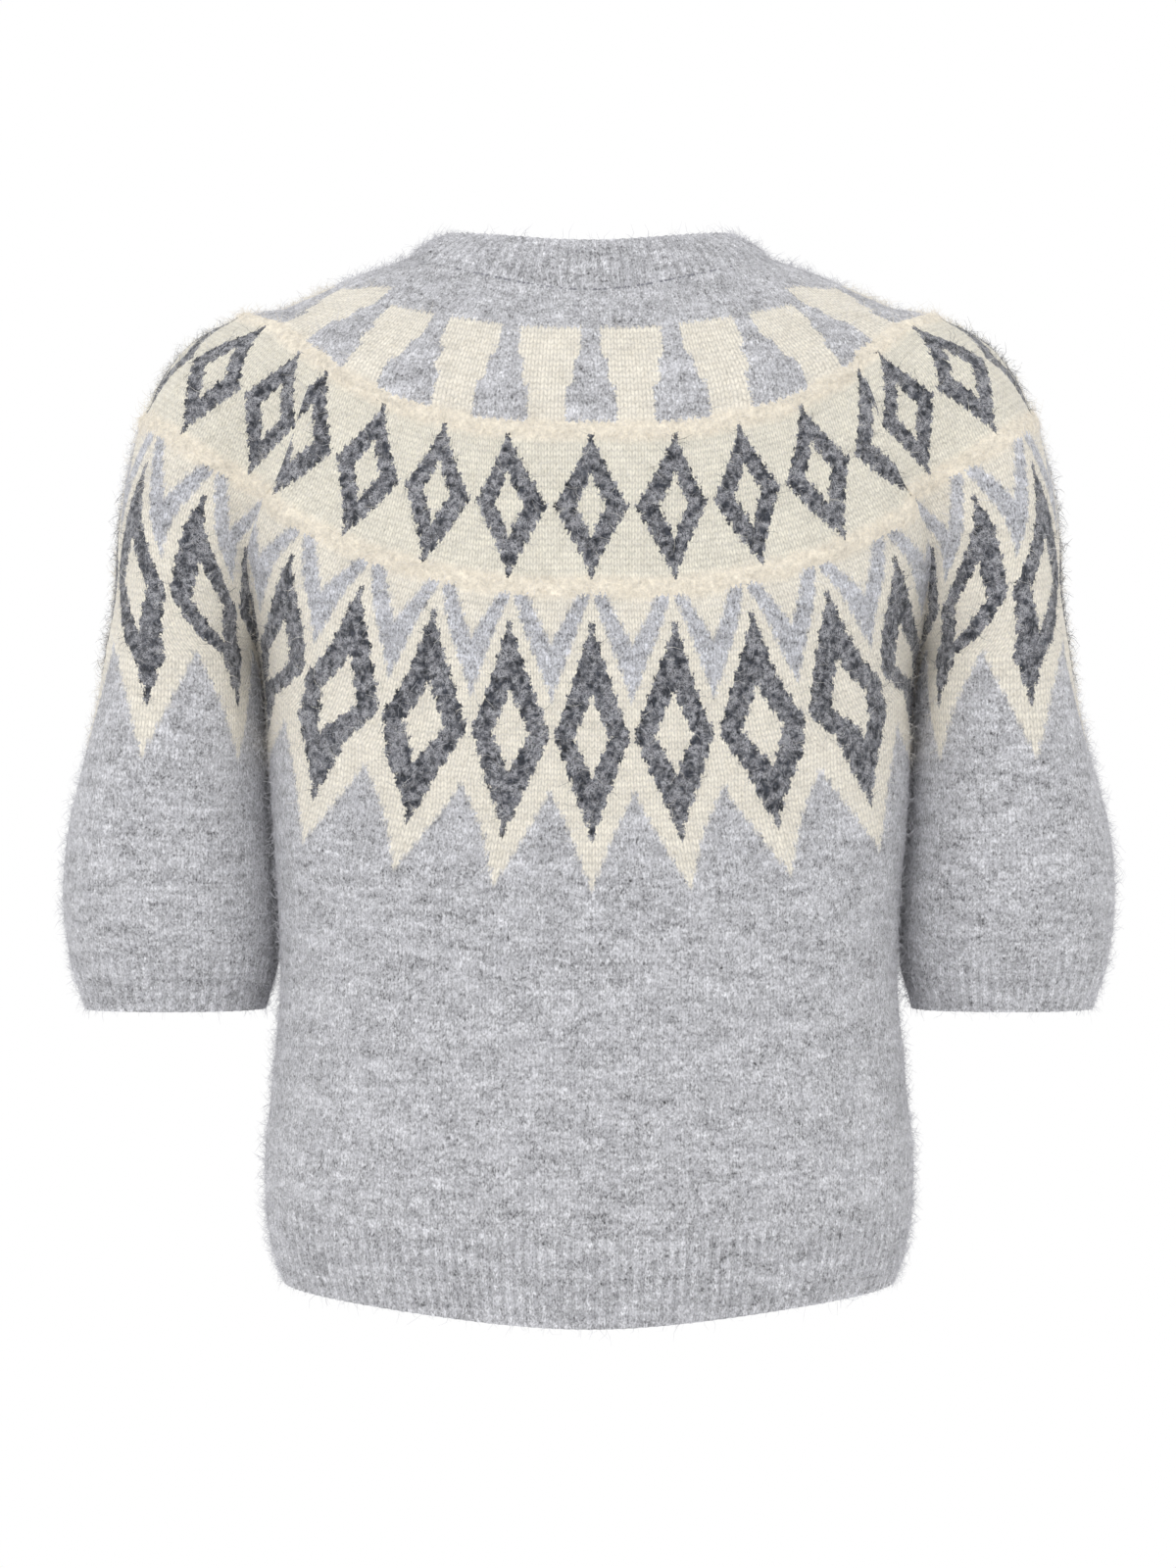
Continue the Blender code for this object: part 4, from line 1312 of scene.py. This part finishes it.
def build_cloth():
    crowded = np.sin(np.linspace(0, 1, BACK_COLUMNS // 2 + 1) * EDGE_CROWDING)
    half = body_grid(1, crowded / crowded[-1])
    normals = body_normals(half)
    grid = np.concatenate([half[:, :0:-1] * MIRROR, half], axis=1)
    normals = np.concatenate([normals[:, :0:-1] * MIRROR, normals], axis=1)
    share = np.broadcast_to(np.concatenate([-crowded[:0:-1], crowded]) / crowded[-1], grid.shape[:2])
    down = down_each(grid)
    chart = body_chart(share, down)
    cloth_piece("back", grid, normals, chart, KNIT, rise=folds("back", share, down) + ridges(chart))
    crowded = np.sin(np.linspace(0, 1, FRONT_COLUMNS + 1) * EDGE_CROWDING)
    grid = body_grid(-1, crowded / crowded[-1])
    normals = body_normals(grid)
    turns = 180 - turn_of(grid)
    share = turns / turns[:, -1:]
    down = down_each(grid)
    chart = body_chart(share - BODY_SHIFT, down)
    for name, mirror in (("front_left", False), ("front_right", True)):
        rise = folds(name, share, down) + ridges(chart) + (lift(grid) if mirror else 0)
        cloth_piece(name, grid, normals, chart, KNIT, rise=rise, mirror=mirror)
    grid = sleeve_grid()
    normals = outward(grid, "sleeve")
    normals[0] = neck_normal(turn_of(grid[0]))
    for column in (0, -1):
        normals[1 : YOKE_ROWS + 1, column] = crease_normal(grid[1 : YOKE_ROWS + 1, column])
    share = np.broadcast_to(np.linspace(0, 1, SLEEVE_COLUMNS + 1), grid.shape[:2])
    down = down_each(grid)
    chart = sleeve_chart(share, down)
    for name, mirror in (("sleeve_left", False), ("sleeve_right", True)):
        rise = folds(name, share, down) + ridges(chart)
        cloth_piece(name, grid, normals, chart, KNIT, rise=rise, mirror=mirror, closed_from=YOKE_ROWS)


def tube(name, path, out, radius, material):
    """A round length of yarn along a path. out is a direction square to the path at each point."""
    around = np.linspace(0, math.tau, TUBE_SIDES + 1)
    up = unit(np.cross(np.gradient(path, axis=0), out))
    turn = np.cos(around)[None, :, None] * out[:, None] + np.sin(around)[None, :, None] * up[:, None]
    grid = path[:, None] + turn * np.broadcast_to(radius, len(path))[:, None, None]
    chart = np.stack(np.broadcast_arrays(lengths(path)[:, None], around[None] / math.tau), axis=-1)
    mesh = piece_mesh(name, grid, turn, chart, closed_from=0)
    return add_piece(name, mesh, (material,))


def linking(turns):
    """The chain of yarn that links the neckband to the yoke."""
    out = neck_normal(turns)
    path = neck_seam(turns)
    path = path + out * (LINK_OUT + lift(path) * (turns < 0))[:, None]
    path[:, 2] -= LINK_DROP
    run = lengths(path)
    stitches = np.abs(np.sin(run * math.pi / LINK_PITCH))
    uneven = 0.5 + 0.5 * np.sin(run * 0.83) * np.sin(run * 0.31 + 1.0)
    path = path + out * (0.3 * stitches - LINK_SINK * uneven)[:, None]
    radius = LINK_RADIUS * (0.6 + 0.5 * stitches)
    return tube("neck_linking", path, out, radius, LINKING)


def horn_mesh():
    """One dished button with four holes, about its own middle."""
    disc = bmesh.new()
    bmesh.ops.create_cone(
        disc, cap_ends=True, segments=HORN_SIDES, radius1=BUTTON_RADIUS * MM, radius2=BUTTON_RADIUS * MM,
        depth=BUTTON_THICK * MM,
    )
    bmesh.ops.translate(disc, verts=disc.verts, vec=(0, 0, BUTTON_THICK * MM / 2))
    rims = [edge for edge in disc.edges if abs(edge.verts[0].co.z - edge.verts[1].co.z) < MM / 10]
    bmesh.ops.bevel(disc, geom=rims, offset=BUTTON_EDGE * MM, segments=4, profile=0.5, affect="EDGES")
    for thick, deep in ((BUTTON_LIP - BUTTON_EDGE, 0.0), (BUTTON_EDGE, -BUTTON_DISH), (0.3, -0.05)):
        top = max(disc.faces, key=lambda face: (round(face.normal.z, 3), face.calc_area()))
        bmesh.ops.inset_individual(disc, faces=[top], thickness=thick * MM, depth=deep * MM)
    drills = bmesh.new()
    for x, y in HOLES:
        made = bmesh.ops.create_cone(
            drills, cap_ends=True, segments=HOLE_SIDES,
            radius1=HOLE_RADIUS * MM, radius2=HOLE_RADIUS * MM, depth=HOLE_DEPTH * MM,
        )
        bmesh.ops.translate(drills, verts=made["verts"], vec=(x * MM, y * MM, 0))
    plain, holes = linked("disc", mesh_of("disc", disc)), linked("drills", mesh_of("drills", drills))
    cut = plain.modifiers.new("holes", "BOOLEAN")
    cut.operation = "DIFFERENCE"
    cut.object = holes
    mesh = finished(plain)
    bpy.data.objects.remove(holes)
    mesh.shade_smooth()
    mesh.set_sharp_from_angle(angle=math.radians(40))
    return mesh


def thread_path():
    """The thread's way round the shank under the button, up one hole, across, down the next, under,
    and back over the other two."""
    low, high = BUTTON_THICK * 0.3, BUTTON_THICK - BUTTON_DISH + 0.35
    steps = ((1.0, low), (1.0, high - 0.5), (0.72, high))
    wound = np.linspace(0, 1, SHANK_TURNS * SHANK_STEPS + 1)
    spun = math.tau * SHANK_TURNS * wound
    knots = list(zip(
        SHANK_RADIUS * np.cos(spun), SHANK_RADIUS * np.sin(spun), SHANK_DEPTH * (wound - 1) + low * wound
    ))
    for first, second in (HOLES[:2], HOLES[2:]):
        knots += [(first[0] * reach, first[1], height) for reach, height in steps]
        knots += [(second[0] * reach, second[1], height) for reach, height in reversed(steps)]
    return along(np.array(knots), np.linspace(0, 1, THREAD_STEPS))


def build_buttons(line):
    """Evenly spaced down the centre, each square to the cloth under it and sewn on."""
    length = lengths(line)
    horn, thread = horn_mesh(), thread_path()
    places = np.linspace(BUTTON_FIRST, length[-1] - BUTTON_LAST, BUTTONS)
    for number, place in enumerate(places, start=1):
        spans = (place - BUTTON_RADIUS, place, place + BUTTON_RADIUS)
        above, at, below = np.stack([np.interp(spans, length, line[:, i]) for i in range(3)], axis=-1)
        out = unit(np.cross((1, 0, 0), above - below))
        swing = math.radians(BUTTON_SWING * math.sin(number * 2.4))
        level_axis = np.array([math.cos(swing), 0, 0]) + math.sin(swing) * np.cross(out, (1, 0, 0))
        frame_axes = np.stack([level_axis, np.cross(out, level_axis), out])
        seat = at + out * (LAP + RIB_RISE + SEAM_GAP)
        mesh = horn.copy()
        own = np.zeros(len(mesh.vertices) * 3)
        mesh.vertices.foreach_get("co", own)
        mesh.vertices.foreach_set("co", (own.reshape(-1, 3) @ frame_axes + seat * MM).reshape(-1))
        node_name = f"button_{number}"
        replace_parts(add_piece(node_name + "_horn", mesh, (HORN,)), node_name)
        path = thread @ frame_axes + seat
        sides = unit(np.cross(np.gradient(path, axis=0), out + 0.01))
        tube(node_name + "_thread", path, sides, THREAD_RADIUS, THREAD)


def build_ribs():
    growing = np.arange(RIB_ROWS + 1) / RIB_GROWTH
    heights = np.linspace(CUFF_Z + CUFF_RIB, CUFF_Z, RIB_ROWS + 1)
    ribs = rib_count(sleeve_ring(heights.mean(), np.linspace(0, 1, FINE_COLUMNS)))
    columns = RIB_STEPS * ribs + 1
    grid = np.array([sleeve_ring(z, np.linspace(0, 1, columns)) for z in heights])
    normals, chart = outward(grid, "sleeve"), rib_chart(columns, down_each(grid))
    rise = fine_rise(columns, growing)
    for name, mirror in (("cuff_left", False), ("cuff_right", True)):
        cloth_piece(name, grid, normals, chart, RIB, RIB_CLOTH, rise, mirror, 0)
    band_edge = edge_turn(PLACKET / 2, HEM_Z)
    for name, side, first in (("hem_back", 1, -SIDE_TURN), ("hem_left", -1, band_edge)):
        ribs = rib_count(hem_grid(side, np.linspace(first, SIDE_TURN, FINE_COLUMNS))[0])
        columns = RIB_STEPS * ribs + 1
        grid = hem_grid(side, even_turns(side, first, columns))
        normals, chart = outward(grid, "body"), rib_chart(columns, down_each(grid))
        rise = fine_rise(columns, growing)
        cloth_piece(name, grid, normals, chart, RIB, RIB_CLOTH, rise)
    cloth_piece("hem_right", grid, normals, chart, RIB, RIB_CLOTH, rise + lift(grid), mirror=True)
    end = edge_turn(PLACKET / 2, NECK_FRONT_Z)
    fine = np.linspace(-end, end, FINE_COLUMNS)
    seam = neck_seam(fine)
    length = lengths(seam)
    columns = RIB_STEPS * rib_count(seam) + 1
    turns = np.interp(np.linspace(0, length[-1], columns), length, fine)
    shares = np.linspace(1, 0, RIB_ROWS + 1)
    grid = band_grid(turns, shares)
    chart = rib_chart(columns, down_each(grid))
    rise = fine_rise(columns, growing[::-1]) + lift(grid) * (turns < 0)
    link = linking(np.linspace(-end * LINK_SPAN, end * LINK_SPAN, LINK_POINTS))
    normals = band_normals(turns, shares)
    cloth_piece("neckband", grid, normals, chart, RIB, RIB_CLOTH, rise)
    columns = RIB_STEPS * round(PLACKET / RIB_PITCH) + 1
    grid, normals = placket_grid(columns)
    chart = rib_chart(columns, down_each(grid))
    rise = fine_rise(columns, np.ones(len(grid))) * (RIB_RISE / SOFT_RIB)
    cloth_piece("button_band", grid, normals, chart, RIB)
    cloth_piece("buttonhole_band", grid + normals * LAP, normals, chart, RIB, rise=rise)
    return grid[:, columns // 2]


build_cloth()
build_buttons(build_ribs())

# ---- stage, light and camera ----

def build_studio():
    scene = bpy.context.scene
    camera = bpy.data.cameras.new("camera")
    camera.lens = CAMERA_LENS
    eye = linked("camera", camera)
    eye.location = CAMERA_AT
    eye.rotation_euler = (math.radians(90), 0, math.radians(180))
    scene.camera = eye
    scene.view_settings.view_transform = "Standard"

    pale = bpy.data.materials.new("pale_floor")
    pale.use_nodes = True
    shader = pale.node_tree.nodes["Principled BSDF"].inputs
    feed(pale.node_tree, shader, {"Base Color": (*(FLOOR_PALE,) * 3, 1), "Roughness": 0.9})
    shape = bmesh.new()
    bmesh.ops.create_grid(shape, x_segments=2, y_segments=2, size=FLOOR_HALF)
    floor = linked("floor", mesh_of("floor", shape))
    floor.location = (0, 0, FLOOR_Z)
    floor.data.materials.append(pale)

    world = bpy.data.worlds.new("studio")
    scene.world = world
    world.use_nodes = True
    sky = world.node_tree.nodes["Background"].inputs
    feed(world.node_tree, sky, {"Color": (1, 1, 1, 1), "Strength": SKY})
    light = bpy.data.lights.new("key", "AREA")
    light.shape = "RECTANGLE"
    light.size = light.size_y = KEY_SIZE
    light.energy = KEY_WATTS
    lamp = linked("key", light)
    lamp.location = KEY_AT
    lamp.rotation_euler = (Vector(KEY_TOWARDS) - Vector(KEY_AT)).to_track_quat("-Z", "Y").to_euler()


build_studio()
